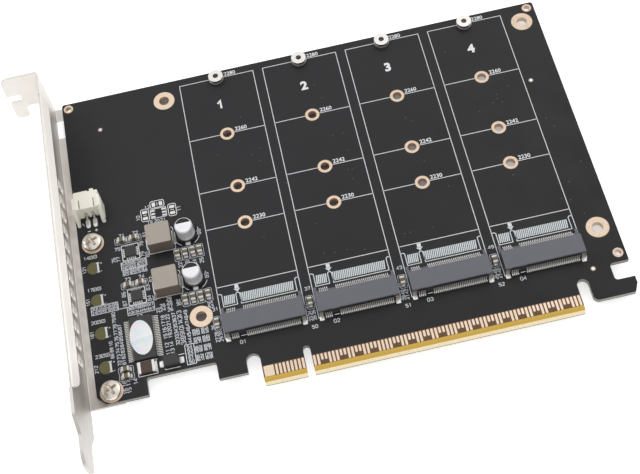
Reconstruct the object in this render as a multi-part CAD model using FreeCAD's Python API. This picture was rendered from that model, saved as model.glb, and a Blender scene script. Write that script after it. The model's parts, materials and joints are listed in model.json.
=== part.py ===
import FreeCAD, Part
import math
import os

# PCI Express x16 adapter card that carries four M.2 key M drives side by side.
# Frame: +X runs along the edge connector, away from the slot bracket. +Y runs from the
# edge connector's tip towards the drive standoffs. +Z is the component side's normal.
# Origin: centre of the edge connector's key notch, on the tip line, at the board's mid-plane.
# All lengths are in millimetres.

# ---------------------------------------------------------------- driving dimensions
BOARD_T = 1.57                 # laminate thickness
BOARD_LEFT = 55.3              # key notch centre to the bracket-side edge
BOARD_TOP = 101.0              # tip line to the far edge
BOARD_RIGHT_MARGIN = 21.4      # last drive lane's axis to the free edge
BOARD_BOTTOM = 4.5             # tip line to the board's own lower edge
BOARD_CORNER_R = 0.8

TONGUE_LEFT = 12.15            # key notch centre to the tongue's bracket-side end
TONGUE_RIGHT = 72.15           # key notch centre to the tongue's other end
TONGUE_BEVEL = 1.5             # height of the lead-in bevel on both faces
TONGUE_BEVEL_DEG = 20.0
TONGUE_CORNER_R = 0.5
KEY_NOTCH_W = 1.9
KEY_NOTCH_H = 8.3
SLOT_H = 9.4                   # height of the round-topped slots at both tongue ends
LEFT_SLOT_W = 3.7
RIGHT_SLOT_W = 3.1
RELIEF_LEFT = 41.95            # stepped relief left of the tongue
RELIEF_RIGHT = 23.5
RELIEF_H = 9.35
EDGE_CHAMFER = 2.35            # chamfer at the bracket-side lower corner

HOOK_BOTTOM = 2.65             # retention hook block right of the tongue
HOOK_BLOCK_R = 1.5
HOOK_ARM_TOP = 7.05
HOOK_NOTCH_TOP = 12.0
HOOK_NOTCH_DEPTH = 5.25
HOOK_NOTCH_R = 0.9
HOOK_NOSE = 1.2                # width of the slanted nose of the hook block

FINGER_PITCH = 1.0
FINGER_W = 0.7
FINGER_T = 0.05
FINGER_BOTTOM = 2.2
FINGER_TOP = 5.16
FINGER_SHORT_BY = 1.2          # make-last contacts end this much higher
KEY_TO_PIN = 1.5               # key notch centre to the axis of the contact on each side
PINS_BEFORE_KEY = 11
PINS_AFTER_KEY = 71

LANE_COUNT = 4
LANE_PITCH = 25.0
FIRST_LANE = 9.05              # first lane's axis lies this far left of the key notch
ROW_INSET = 2.55               # far edge to the axis of the longest drives' standoffs
DRIVE_LENGTHS = (80.0, 60.0, 42.0, 30.0)
DRIVE_HOLE_R = 1.3

CORNER_HOLE_R = 1.5
CORNER_SPACING_X = 107.8
CORNER_SPACING_Y = 71.5
CORNER_INSET_X = 4.85
CORNER_INSET_Y = 6.35
TOOLING_HOLE_R = 0.9
TOOLING_INSET_LEFT = 1.85
TOOLING_INSET_RIGHT = 2.1
TOOLING_INSET_TOP = 1.85
TOOLING_LOW_Y = 14.6

STANDOFF_SEAT = 1.45           # height of the drive's underside over the board
STANDOFF_BORE_R = 0.8
STANDOFF_BASE_R = 2.2
STANDOFF_BASE_T = 0.3
STANDOFF_NECK_R = 1.8
STANDOFF_HEAD_R = 2.15
STANDOFF_HEAD_T = 0.35
STANDOFF_SPIGOT_GAP = 0.05
STANDOFF_SPIGOT_L = 1.2

SOCKET_H = 3.2                 # M.2 socket housing
SOCKET_BACK = 3.0              # rear face to the stop that the drive's edge meets
SOCKET_JAW_UPPER = 2.45        # reach of the upper jaw in front of the stop
SOCKET_JAW_LOWER = 4.05
SOCKET_ARM_REACH = 5.05
SOCKET_WALL = 0.75
SOCKET_FLOOR = 1.25
DRIVE_T = 0.8
SOCKET_MOUTH_GAP = 0.3         # mouth height over the drive's own thickness
SOCKET_LEAD_IN = 0.25
KEY_RIB_W = 1.1
M2_PITCH = 0.5
M2_END_MARGIN = 1.55           # housing's end to the front row's outermost contact
M2_COUNT_BEFORE_KEY = 29        # contacts of each row on the wide side of the key
M2_COUNT_IN_KEY = 4             # positions that the key takes from each row
M2_ODD_PINS_AFTER_KEY = 5
M2_EVEN_PINS_AFTER_KEY = 4
M2_CONTACT_W = 0.22
M2_CONTACT_T = 0.2
M2_TAIL_REAR = 0.95
M2_TAIL_FRONT = 1.1
ANCHOR_W = 1.1
ANCHOR_L = 1.0
ANCHOR_T = 0.2
ANCHOR_RISER = 2.4

SHEET = 0.86                   # slot bracket
BEND_R = 0.4                   # inside radius of every fold
BRACKET_GAP = 2.5              # board edge to the faceplate's inner face
BRACKET_W = 18.42
BRACKET_LOW_Z = 2.92           # board's component face down to the faceplate's solder-side edge
TAB_OVER_BOARD = 1.1           # board's far edge to the tab's underside
TAB_REACH = 11.35              # faceplate's inner face to the tab's free edge
TAB_CORNER_R = 2.6
TAB_SLOT_W = 3.2
TAB_SLOT_DEPTH = 3.85
TAB_SLOT_Z = 7.52              # solder-side edge of the tab to the slot
TAB_SLOT_R = 0.5
TAB_SLOT_LOW_R = 1.0           # roundings of the slot's mouth
TAB_SLOT_HIGH_R = 0.6
TAB_FINGER_R = 1.6             # roundings of the finger between slot and screw notch
TAB_FINGER_NOTCH_R = 1.2
SCREW_NOTCH_W = 4.42
SCREW_NOTCH_DEPTH = 5.12
SCREW_NOTCH_R = 1.86
LIP_REACH = 2.1                # stiffening lip on the component side
LIP_START = 4.4
LIP_TO_TAB = 7.1               # lip's upper end to the tab's underside
LIP_TAPER = 5.6                # length over which the lip runs out at its upper end
LIP_CORNER_R = 1.5
FLANGE_START = 4.5
FLANGE_TO_TAB = 11.6
FLANGE_REACH = 3.3             # faceplate's inner face to the flange's free edge
EAR_REACH = 9.8                # the same at the two screws
EAR_HALF = 4.4
EAR_R = 1.0
UPPER_EAR_TO_TAB = 1.1
UPPER_EAR_L = 3.8
VENT_COUNT = 12
VENT_PITCH = 4.94
VENT_FIRST_Y = 16.8
VENT_W = 3.0
VENT_L = 11.0
VENT_LOW_Z = 2.9               # solder-side edge of the faceplate to the vents
BLADE_W = 10.19                # locating blade at the faceplate's lower end
BLADE_OFFSET = 3.85
BLADE_SHOULDER_Y = -2.7
BLADE_START_Y = -6.3
BLADE_TIP_Y = -14.3
BLADE_R = 3.0
BLADE_HIGH_R = 3.9
BLADE_BEND_R = 0.8             # roundings where the blade meets the faceplate

SCREW_X = 4.0                  # board's bracket-side edge to the bracket screws
SCREW_LOW_Y = 7.7
SCREW_HIGH_Y = 52.3
SCREW_SHANK_R = 1.45
SCREW_GAP = 0.05               # thread to the bracket's threaded hole
SCREW_BOARD_GAP = 0.15
SCREW_HEAD_R = 2.65
SCREW_HEAD_H = 1.9
SCREW_DOME = 0.55
SCREW_FLAT_R = 2.1             # flat round the recess
SCREW_L = 3.95                 # under the head
RECESS_W = 0.75
RECESS_L = 3.0
RECESS_DEPTH = 0.9

FAN_X = 4.45                   # board's bracket-side edge to the fan header's axis
FAN_Y = 61.0                   # header's rear face
FAN_W = 7.8
FAN_H = 4.8
FAN_D = 5.4
FAN_NOSE_W = 6.3
FAN_NOSE_D = 0.7
FAN_WALL = 0.75
FAN_BACK_WALL = 1.1
FAN_LEG_W = 0.8
FAN_LEG_L = 2.6
FAN_LEG_LOW_H = 0.5
FAN_SLIT_W = 0.35
FAN_SLIT_L = 3.2
FAN_SLIT_SPACING = 4.1
FAN_PIN_PITCH = 2.0
FAN_PIN = 0.5
FAN_PIN_Z = 2.3
FAN_TAIL_L = 2.6
FAN_FOOT_L = 0.9
FAN_FOOT_T = 0.3

INDUCTOR_X = 22.65             # board's bracket-side edge to the inductors
INDUCTOR_Y = (48.4, 34.6)
INDUCTOR_W = 6.6
INDUCTOR_D = 6.45
INDUCTOR_H = 4.8
INDUCTOR_R = 0.45
TERMINAL_W = 3.3
TERMINAL_REACH = 0.7
TERMINAL_T = 0.2
TERMINAL_H = 1.5

CAN_X = 29.85                  # board's bracket-side edge to the electrolytic cans
CAN_Y = (48.7, 34.7)
CAN_R = 2.45
CAN_H = 5.3
CAN_BASE_T = 0.8
CAN_BASE_HALF = 2.6
CAN_BASE_CHAMFER = 1.0
CAN_EDGE = 0.3                  # chamfer of the top rim
CAN_GROOVE_Z = 1.0              # crimp groove above the seat
CAN_GROOVE_DEPTH = 0.22
CAN_GROOVE_HALF = 0.3
CAN_LEAD_W = 1.3
CAN_LEAD_L = 0.8
CAN_LEAD_T = 0.2

CONVERTER_X = 13.95            # board's bracket-side edge to the two converter chips
CONVERTER_Y = (47.1, 33.3)
CONVERTER_SIDE = 3.0
CONVERTER_H = 0.9

BUFFER_X = 14.05               # board's bracket-side edge to the clock buffer
BUFFER_Y = 20.5
BUFFER_W = 6.1
BUFFER_L = 12.5
BUFFER_H = 1.1
BUFFER_LIFT = 0.08
BUFFER_PINS = 24
BUFFER_PITCH = 0.5
BUFFER_LEAD_W = 0.22
BUFFER_LEAD_T = 0.14
BUFFER_LEAD_REACH = 1.0
BUFFER_EDGE = 0.22
STICKER_HALF_W = 3.0
STICKER_HALF_L = 5.05
STICKER_T = 0.08
STICKER_TILT_DEG = 3.0

FUSE_X = 13.9
FUSE_Y = 12.0
FUSE_W = 4.4
FUSE_D = 3.2
FUSE_H = 1.0
FUSE_CAP = 0.7

DIODE_X = 20.5
DIODE_Y = 12.1
DIODE_W = 4.3
DIODE_D = 2.6
DIODE_H = 2.1
DIODE_DRAFT = 0.2
DIODE_LEAD_W = 1.45
DIODE_LEAD_REACH = 0.9
DIODE_LEAD_T = 0.25

CHIP_CAP_L = 2.0               # ceramic capacitors
CHIP_CAP_W = 1.25
CHIP_CAP_H = 1.25
CHIP_CAP_END = 0.5

# ---------------------------------------------------------------- derived places
TOP = BOARD_T / 2
UNDERSIDE = -BOARD_T / 2
X_LEFT = -BOARD_LEFT
LANES = [-FIRST_LANE + LANE_PITCH * i for i in range(LANE_COUNT)]
X_RIGHT = LANES[-1] + BOARD_RIGHT_MARGIN
DRIVE_STOP_Y = BOARD_TOP - ROW_INSET - DRIVE_LENGTHS[0]
SOCKET_REAR_Y = DRIVE_STOP_Y - SOCKET_BACK
MOUTH_TOP = SOCKET_FLOOR + DRIVE_T + SOCKET_MOUTH_GAP
M2_SPAN = M2_PITCH * (M2_COUNT_BEFORE_KEY + M2_COUNT_IN_KEY + M2_ODD_PINS_AFTER_KEY - 1)
SOCKET_W = M2_SPAN + 2 * M2_END_MARGIN
M2_ODD_START = M2_SPAN / 2                 # lane axis to the front row's first contact
M2_EVEN_START = M2_ODD_START - M2_PITCH / 2
KEY_RIB_X = M2_ODD_START - M2_PITCH * (M2_COUNT_BEFORE_KEY - 1 + (M2_COUNT_IN_KEY + 1.5) / 2)
FACE_IN = X_LEFT - BRACKET_GAP             # faceplate's inner face
FACE_OUT = FACE_IN - SHEET
FACE_LOW = TOP - BRACKET_LOW_Z
FACE_HIGH = FACE_LOW + BRACKET_W
TAB_UNDERSIDE = BOARD_TOP + TAB_OVER_BOARD
LIP_END = TAB_UNDERSIDE - LIP_TO_TAB
FLANGE_END = TAB_UNDERSIDE - FLANGE_TO_TAB
UPPER_EAR_END = TAB_UNDERSIDE - UPPER_EAR_TO_TAB
UPPER_EAR_START = UPPER_EAR_END - UPPER_EAR_L
BEND_OUT = BEND_R + SHEET
SCREWS = [(X_LEFT + SCREW_X, SCREW_LOW_Y), (X_LEFT + SCREW_X, SCREW_HIGH_Y)]
FAN_AXIS = X_LEFT + FAN_X
CORNERS_X = (X_RIGHT - CORNER_INSET_X - CORNER_SPACING_X, X_RIGHT - CORNER_INSET_X)
CORNERS_Y = (BOARD_TOP - CORNER_INSET_Y - CORNER_SPACING_Y, BOARD_TOP - CORNER_INSET_Y)

# places of the ceramic capacitors: x from the board's bracket-side edge, y from the tip line
CAPS_ALONG_X = ((12.0, 51.1), (15.4, 51.1), (12.1, 37.0), (15.5, 37.0), (8.4, 12.75), (8.4, 10.8))
CAPS_ALONG_Y = ((26.6, 42.9), (28.7, 42.9), (30.8, 42.9), (32.7, 42.9),
                (26.7, 29.0), (28.8, 29.0), (30.9, 29.0), (32.9, 29.0))
LANE_CAP_GAP = 1.6             # socket's end to the axis of the capacitor beside it
LANE_CAP_Y = 20.15


# ---------------------------------------------------------------- shape helpers
def vec(x, y, z):
    return FreeCAD.Vector(x, y, z)


def box(x0, x1, y0, y1, z0, z1):
    return Part.makeBox(x1 - x0, y1 - y0, z1 - z0, vec(x0, y0, z0))


def hole(x, y, radius):
    """Cutter for a round hole through the board and the flange under it."""
    depth = BOARD_T + SHEET
    return Part.makeCylinder(radius, 2 * depth, vec(x, y, -depth), vec(0, 0, 1))


def corner_arc(before, corner, after, radius):
    """Start, middle and end of the arc that rounds one corner of an outline."""
    back = (before - corner).normalize()
    ahead = (after - corner).normalize()
    half = back.getAngle(ahead) / 2
    reach = radius / math.tan(half)
    middle = (back + ahead).normalize() * (radius / math.sin(half))
    centre = corner + middle
    return corner + back * reach, centre - middle.normalize() * radius, corner + ahead * reach


def outline(corners, place):
    """Closed face through corners (u, v, radius); place maps (u, v) to a point in space."""
    points = [place(u, v) for u, v, radius in corners]
    edges = []
    ends = []
    for i, (u, v, radius) in enumerate(corners):
        if radius > 0:
            start, middle, end = corner_arc(points[i - 1], points[i], points[(i + 1) % len(points)], radius)
            edges.append((start, Part.Arc(start, middle, end).toShape(), end))
        else:
            edges.append((points[i], None, points[i]))
    for i, (start, arc, end) in enumerate(edges):
        following = edges[(i + 1) % len(edges)][0]
        if arc is not None:
            ends.append(arc)
        if end.distanceToPoint(following) > 1e-6:
            ends.append(Part.makeLine(end, following))
    return Part.Face(Part.Wire(ends))


def plate_xy(corners, z0, z1):
    return outline(corners, lambda x, y: vec(x, y, z0)).extrude(vec(0, 0, z1 - z0))


def plate_yz(corners, x0, x1):
    return outline(corners, lambda y, z: vec(x0, y, z)).extrude(vec(x1 - x0, 0, 0))


def slot_yz(y, z0, z1, width, x0, x1):
    """Cutter for a round-ended slot through an upright sheet."""
    r = width / 2
    low = z0 + r
    high = z1 - r
    edges = [Part.makeLine(vec(x0, y + r, low), vec(x0, y + r, high)),
             Part.Arc(vec(x0, y + r, high), vec(x0, y, z1), vec(x0, y - r, high)).toShape(),
             Part.makeLine(vec(x0, y - r, high), vec(x0, y - r, low)),
             Part.Arc(vec(x0, y - r, low), vec(x0, y, z0), vec(x0, y + r, low)).toShape()]
    return Part.Face(Part.Wire(edges)).extrude(vec(x1 - x0, 0, 0))


def plate_xz(corners, y0, y1):
    return outline(corners, lambda x, z: vec(x, y0, z)).extrude(vec(0, y1 - y0, 0))


def sharp(points):
    return [(u, v, 0) for u, v in points]


def turned(profile, x, y, z):
    """Solid of revolution about a vertical axis; the profile holds (radius, height) pairs."""
    points = [vec(r, 0, h) for r, h in profile]
    face = Part.Face(Part.makePolygon(points + points[:1]))
    solid = face.revolve(vec(0, 0, 0), vec(0, 0, 1), 360)
    solid.translate(vec(x, y, z))
    return solid


def fold(centre_u, centre_v, quadrant, place, run):
    """Quarter-ring of sheet about (centre_u, centre_v), swept along run: one fold's material."""
    angles = [math.radians(90 * quadrant + step) for step in (0, 45, 90)]
    outer = [place(centre_u + BEND_OUT * math.cos(a), centre_v + BEND_OUT * math.sin(a)) for a in angles]
    inner = [place(centre_u + BEND_R * math.cos(a), centre_v + BEND_R * math.sin(a)) for a in angles]
    edges = [Part.Arc(outer[0], outer[1], outer[2]).toShape(),
             Part.makeLine(outer[2], inner[2]),
             Part.Arc(inner[2], inner[1], inner[0]).toShape(),
             Part.makeLine(inner[0], outer[0])]
    return Part.Face(Part.Wire(edges)).extrude(run)


def joined(solids):
    return solids[0].fuse(solids[1:]).removeSplitter()


def write(node, solids):
    """One STEP file per node; several solids stay separate inside it."""
    solids = list(solids) if isinstance(solids, (list, tuple)) else [solids]
    pieces = [piece for shape in solids for piece in shape.Solids]
    shape = pieces[0] if len(pieces) == 1 else Part.makeCompound(pieces)
    shape.exportStep("parts/" + node + ".step")


# ---------------------------------------------------------------- circuit board
def board_outline():
    arm_right = X_RIGHT
    notch_left = X_RIGHT - HOOK_NOTCH_DEPTH
    left_slot = -TONGUE_LEFT - LEFT_SLOT_W
    right_slot = TONGUE_RIGHT + RIGHT_SLOT_W
    half_key = KEY_NOTCH_W / 2
    r = BOARD_CORNER_R
    return [
        (X_LEFT, BOARD_TOP, r),
        (X_LEFT, BOARD_BOTTOM + EDGE_CHAMFER, 0),
        (X_LEFT + EDGE_CHAMFER, BOARD_BOTTOM, 0),
        (-RELIEF_LEFT, BOARD_BOTTOM, 0),
        (-RELIEF_LEFT, RELIEF_H, r),
        (-RELIEF_RIGHT, RELIEF_H, r),
        (-RELIEF_RIGHT, BOARD_BOTTOM, 0),
        (left_slot, BOARD_BOTTOM, 0),
        (left_slot, SLOT_H, 0.499 * LEFT_SLOT_W),
        (-TONGUE_LEFT, SLOT_H, 0.499 * LEFT_SLOT_W),
        (-TONGUE_LEFT, 0, TONGUE_CORNER_R),
        (-half_key, 0, 0),
        (-half_key, KEY_NOTCH_H, 0.499 * KEY_NOTCH_W),
        (half_key, KEY_NOTCH_H, 0.499 * KEY_NOTCH_W),
        (half_key, 0, 0),
        (TONGUE_RIGHT, 0, TONGUE_CORNER_R),
        (TONGUE_RIGHT, SLOT_H, 0.499 * RIGHT_SLOT_W),
        (right_slot, SLOT_H, 0.499 * RIGHT_SLOT_W),
        (right_slot, HOOK_BOTTOM, HOOK_BLOCK_R),
        (arm_right - HOOK_NOSE, HOOK_BOTTOM, 0),
        (arm_right, HOOK_BOTTOM + 2 * HOOK_NOSE, 0),
        (arm_right, HOOK_ARM_TOP, 0),
        (notch_left, HOOK_ARM_TOP, HOOK_NOTCH_R),
        (notch_left, HOOK_NOTCH_TOP, HOOK_NOTCH_R),
        (arm_right, HOOK_NOTCH_TOP, 0),
        (arm_right, BOARD_TOP, r),
    ]


def bevel_cutter(side):
    """Wedge that thins the tongue's tip on the component (+1) or solder (-1) side."""
    depth = TONGUE_BEVEL * math.tan(math.radians(TONGUE_BEVEL_DEG))
    surface = side * TOP
    beyond = surface + side * 0.5
    wedge = [(-0.5, beyond), (-0.5, surface - side * depth), (0, surface - side * depth),
             (TONGUE_BEVEL, surface), (TONGUE_BEVEL, beyond)]
    return plate_yz(sharp(wedge), -TONGUE_LEFT - 1, TONGUE_RIGHT + 1)


def drive_rows():
    return [DRIVE_STOP_Y + length for length in DRIVE_LENGTHS]


def circuit_board():
    board = plate_xy(board_outline(), UNDERSIDE, TOP)
    cutters = [bevel_cutter(1), bevel_cutter(-1)]
    cutters += [hole(x, y, DRIVE_HOLE_R) for x in LANES for y in drive_rows()]
    cutters += [hole(x, y, CORNER_HOLE_R) for x in CORNERS_X for y in CORNERS_Y]
    cutters += [hole(x, y, SCREW_SHANK_R + SCREW_BOARD_GAP) for x, y in SCREWS]
    tooling = [(X_LEFT + TOOLING_INSET_LEFT, BOARD_TOP - TOOLING_INSET_TOP),
               (X_RIGHT - TOOLING_INSET_RIGHT, BOARD_TOP - TOOLING_INSET_TOP),
               (X_RIGHT - TOOLING_INSET_RIGHT, TOOLING_LOW_Y)]
    cutters += [hole(x, y, TOOLING_HOLE_R) for x, y in tooling]
    return board.cut(cutters)


# ---------------------------------------------------------------- edge contacts
SHORT_FRONT = (14, 15, 19, 20, 23, 24, 27, 28, 33, 34, 37, 38, 41, 42, 45, 46, 50, 51, 54, 55,
               58, 59, 62, 63, 66, 67, 70, 71, 74, 75, 78, 79)
SHORT_BACK = (1, 13, 14, 16, 17, 21, 22, 25, 26, 29, 30, 35, 36, 39, 40, 43, 44, 47, 48, 52, 53,
              56, 57, 60, 61, 64, 65, 68, 69, 72, 73, 76, 77, 80, 81)


def pin_axis(number):
    if number <= PINS_BEFORE_KEY:
        return -KEY_TO_PIN - (PINS_BEFORE_KEY - number) * FINGER_PITCH
    return KEY_TO_PIN + (number - PINS_BEFORE_KEY - 1) * FINGER_PITCH


def edge_contacts(z0, z1, short, bridged):
    """One gold contact per pin; the bridged pins share one wide pad."""
    fingers = []
    half = FINGER_W / 2
    for number in range(1, PINS_BEFORE_KEY + PINS_AFTER_KEY + 1):
        if number in bridged:
            continue
        bottom = FINGER_BOTTOM + (FINGER_SHORT_BY if number in short else 0)
        x = pin_axis(number)
        fingers.append(box(x - half, x + half, bottom, FINGER_TOP, z0, z1))
    if bridged:
        fingers.append(box(pin_axis(bridged[0]) - half, pin_axis(bridged[-1]) + half,
                           FINGER_BOTTOM, FINGER_TOP, z0, z1))
    return fingers


# ---------------------------------------------------------------- M.2 sockets
def socket_housing(lane):
    """Mouth open to +Y between two jaws, walled at both ends, with the key rib across it."""
    rear = SOCKET_REAR_Y
    stop = DRIVE_STOP_Y
    lower_tip = stop + SOCKET_JAW_LOWER
    upper_tip = stop + SOCKET_JAW_UPPER
    lead = SOCKET_LEAD_IN
    section = [(rear, TOP), (lower_tip, TOP), (lower_tip, TOP + SOCKET_FLOOR - lead),
               (lower_tip - lead, TOP + SOCKET_FLOOR), (stop, TOP + SOCKET_FLOOR),
               (stop, TOP + MOUTH_TOP), (upper_tip - lead, TOP + MOUTH_TOP),
               (upper_tip, TOP + MOUTH_TOP + lead), (upper_tip, TOP + SOCKET_H),
               (rear + lead, TOP + SOCKET_H), (rear, TOP + SOCKET_H - lead)]
    half = SOCKET_W / 2
    body = plate_yz(sharp(section), lane - half, lane + half)
    wall = [(stop, TOP), (stop + SOCKET_ARM_REACH, TOP), (stop + SOCKET_ARM_REACH, TOP + SOCKET_FLOOR),
            (upper_tip, TOP + SOCKET_FLOOR), (upper_tip, TOP + MOUTH_TOP + lead),
            (stop, TOP + MOUTH_TOP + lead)]
    ends = [plate_yz(sharp(wall), lane - half, lane - half + SOCKET_WALL),
            plate_yz(sharp(wall), lane + half - SOCKET_WALL, lane + half)]
    key = lane + KEY_RIB_X
    rib = box(key - KEY_RIB_W / 2, key + KEY_RIB_W / 2, stop, upper_tip - lead,
              TOP + SOCKET_FLOOR, TOP + MOUTH_TOP)
    return joined([body] + ends + [rib])


def row_places(lane, start, after_key):
    """Axes of one contact row, from the wide side of the key to the narrow one."""
    slots = list(range(M2_COUNT_BEFORE_KEY))
    slots += [M2_COUNT_BEFORE_KEY + M2_COUNT_IN_KEY + i for i in range(after_key)]
    return [lane + start - slot * M2_PITCH for slot in slots]


def socket_contacts(lane):
    """Solder tails: the rear row leaves below the housing's back, the front row below its lip."""
    half = M2_CONTACT_W / 2
    rear = SOCKET_REAR_Y
    lip = DRIVE_STOP_Y + SOCKET_JAW_LOWER
    tails = [box(x - half, x + half, rear - M2_TAIL_REAR, rear, TOP, TOP + M2_CONTACT_T)
             for x in row_places(lane, M2_EVEN_START, M2_EVEN_PINS_AFTER_KEY)]
    tails += [box(x - half, x + half, lip, lip + M2_TAIL_FRONT, TOP, TOP + M2_CONTACT_T)
              for x in row_places(lane, M2_ODD_START, M2_ODD_PINS_AFTER_KEY)]
    return tails


def socket_anchors(lane):
    """Hold-down tab at each rear corner: a foot on the board and a strap up the housing."""
    rear = SOCKET_REAR_Y
    half = SOCKET_W / 2
    profile = [(rear - ANCHOR_L, TOP), (rear, TOP), (rear, TOP + ANCHOR_RISER),
               (rear - ANCHOR_T, TOP + ANCHOR_RISER), (rear - ANCHOR_T, TOP + ANCHOR_T),
               (rear - ANCHOR_L, TOP + ANCHOR_T)]
    return [plate_yz(sharp(profile), lane - half, lane - half + ANCHOR_W),
            plate_yz(sharp(profile), lane + half - ANCHOR_W, lane + half)]


# ---------------------------------------------------------------- drive standoffs
def drive_standoff(lane):
    spigot = DRIVE_HOLE_R - STANDOFF_SPIGOT_GAP
    profile = [(STANDOFF_BORE_R, -STANDOFF_SPIGOT_L), (spigot, -STANDOFF_SPIGOT_L), (spigot, 0),
               (STANDOFF_BASE_R, 0), (STANDOFF_BASE_R, STANDOFF_BASE_T),
               (STANDOFF_NECK_R, STANDOFF_BASE_T), (STANDOFF_NECK_R, STANDOFF_SEAT - STANDOFF_HEAD_T),
               (STANDOFF_HEAD_R, STANDOFF_SEAT - STANDOFF_HEAD_T), (STANDOFF_HEAD_R, STANDOFF_SEAT),
               (STANDOFF_BORE_R, STANDOFF_SEAT)]
    return turned(profile, lane, drive_rows()[0], TOP)


# ---------------------------------------------------------------- slot bracket
def faceplate():
    """Flat of the bracket in Y and Z, cut back where a fold takes over, with its vents and blade."""
    low_fold = UNDERSIDE - SHEET + BEND_OUT
    high_fold = FACE_HIGH - BEND_OUT
    top = TAB_UNDERSIDE + SHEET - BEND_OUT
    blade_low = FACE_LOW + BLADE_OFFSET
    blade_high = blade_low + BLADE_W
    corners = [
        (top, FACE_LOW, 0), (UPPER_EAR_END, FACE_LOW, 0), (UPPER_EAR_END, low_fold, 0),
        (UPPER_EAR_START, low_fold, 0), (UPPER_EAR_START, FACE_LOW, 0),
        (FLANGE_END, FACE_LOW, 0), (FLANGE_END, low_fold, 0), (FLANGE_START, low_fold, 0),
        (FLANGE_START, FACE_LOW, 0), (BLADE_SHOULDER_Y, FACE_LOW, BLADE_BEND_R),
        (BLADE_START_Y, blade_low, BLADE_BEND_R), (BLADE_TIP_Y, blade_low, BLADE_R),
        (BLADE_TIP_Y, blade_high, BLADE_HIGH_R), (BLADE_START_Y, blade_high, BLADE_BEND_R),
        (BLADE_SHOULDER_Y, FACE_HIGH, BLADE_BEND_R), (LIP_START, FACE_HIGH, 0), (LIP_START, high_fold, 0),
        (LIP_END, high_fold, 0), (LIP_END, FACE_HIGH, 0), (top, FACE_HIGH, 0)]
    plate = plate_yz(corners, FACE_OUT, FACE_IN)
    vents = []
    low = FACE_LOW + VENT_LOW_Z
    high = low + VENT_L
    for i in range(VENT_COUNT):
        y = VENT_FIRST_Y + i * VENT_PITCH
        vents.append(slot_yz(y, low, high, VENT_W, FACE_OUT - 1, FACE_IN + 1))
    return plate.cut(vents)


def mounting_tab():
    """Tab folded out of the machine at the top, with its locating slot and screw notch."""
    free = FACE_IN - TAB_REACH
    inner = FACE_IN - BEND_OUT
    slot_low = FACE_LOW + TAB_SLOT_Z
    slot_high = slot_low + TAB_SLOT_W
    slot_in = free + TAB_SLOT_DEPTH
    notch_out = slot_in
    notch_in = notch_out + SCREW_NOTCH_W
    notch_top = FACE_LOW + SCREW_NOTCH_DEPTH
    corners = [
        (inner, FACE_HIGH, 0), (inner, FACE_LOW, 0), (notch_in, FACE_LOW, 0),
        (notch_in, notch_top, SCREW_NOTCH_R), (notch_out, notch_top, SCREW_NOTCH_R),
        (notch_out, FACE_LOW, TAB_FINGER_NOTCH_R), (free, FACE_LOW, TAB_FINGER_R),
        (free, slot_low, TAB_SLOT_LOW_R), (slot_in, slot_low, TAB_SLOT_R),
        (slot_in, slot_high, TAB_SLOT_R), (free, slot_high, TAB_SLOT_HIGH_R),
        (free, FACE_HIGH, TAB_CORNER_R)]
    flat = plate_xz(corners, TAB_UNDERSIDE, TAB_UNDERSIDE + SHEET)
    bend = fold(FACE_IN - BEND_OUT, TAB_UNDERSIDE + SHEET - BEND_OUT, 0,
                lambda x, y: vec(x, y, FACE_LOW), vec(0, 0, BRACKET_W))
    return [flat, bend]


def stiffening_lip():
    """Narrow lip folded towards the board, running out in a taper at its upper end."""
    bend = fold(FACE_OUT + BEND_OUT, FACE_HIGH - BEND_OUT, 1,
                lambda x, z: vec(x, LIP_START, z), vec(0, LIP_END - LIP_START, 0))
    inner = FACE_OUT + BEND_OUT
    free = FACE_IN + LIP_REACH
    corners = [(inner, LIP_START, 0), (free, LIP_START, LIP_CORNER_R),
               (free, LIP_END - LIP_TAPER, LIP_CORNER_R), (inner, LIP_END, 0)]
    return [bend, plate_xy(corners, FACE_HIGH - SHEET, FACE_HIGH)]


def board_flange():
    """Flange folded under the board, with an ear at each screw, and the small ear above it."""
    inner = FACE_OUT + BEND_OUT
    strip = FACE_IN + FLANGE_REACH
    ear = FACE_IN + EAR_REACH
    corners = [
        (inner, FLANGE_START, 0), (ear, FLANGE_START, EAR_R),
        (ear, SCREW_LOW_Y + EAR_HALF, EAR_R), (strip, SCREW_LOW_Y + EAR_HALF, 0),
        (strip, SCREW_HIGH_Y - EAR_HALF, 0), (ear, SCREW_HIGH_Y - EAR_HALF, EAR_R),
        (ear, SCREW_HIGH_Y + EAR_HALF, EAR_R), (strip, SCREW_HIGH_Y + EAR_HALF, 0),
        (strip, FLANGE_END, EAR_R), (inner, FLANGE_END, 0)]
    flange = plate_xy(corners, UNDERSIDE - SHEET, UNDERSIDE)
    flange = flange.cut([hole(x, y, SCREW_SHANK_R + SCREW_GAP) for x, y in SCREWS])
    small = box(inner, strip, UPPER_EAR_START, UPPER_EAR_END, UNDERSIDE - SHEET, UNDERSIDE)
    folds = [fold(FACE_OUT + BEND_OUT, UNDERSIDE - SHEET + BEND_OUT, 2,
                  lambda x, z: vec(x, start, z), vec(0, end - start, 0))
             for start, end in ((FLANGE_START, FLANGE_END), (UPPER_EAR_START, UPPER_EAR_END))]
    return [flange, small] + folds


def bracket():
    return joined([faceplate()] + mounting_tab() + stiffening_lip() + board_flange())


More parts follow.
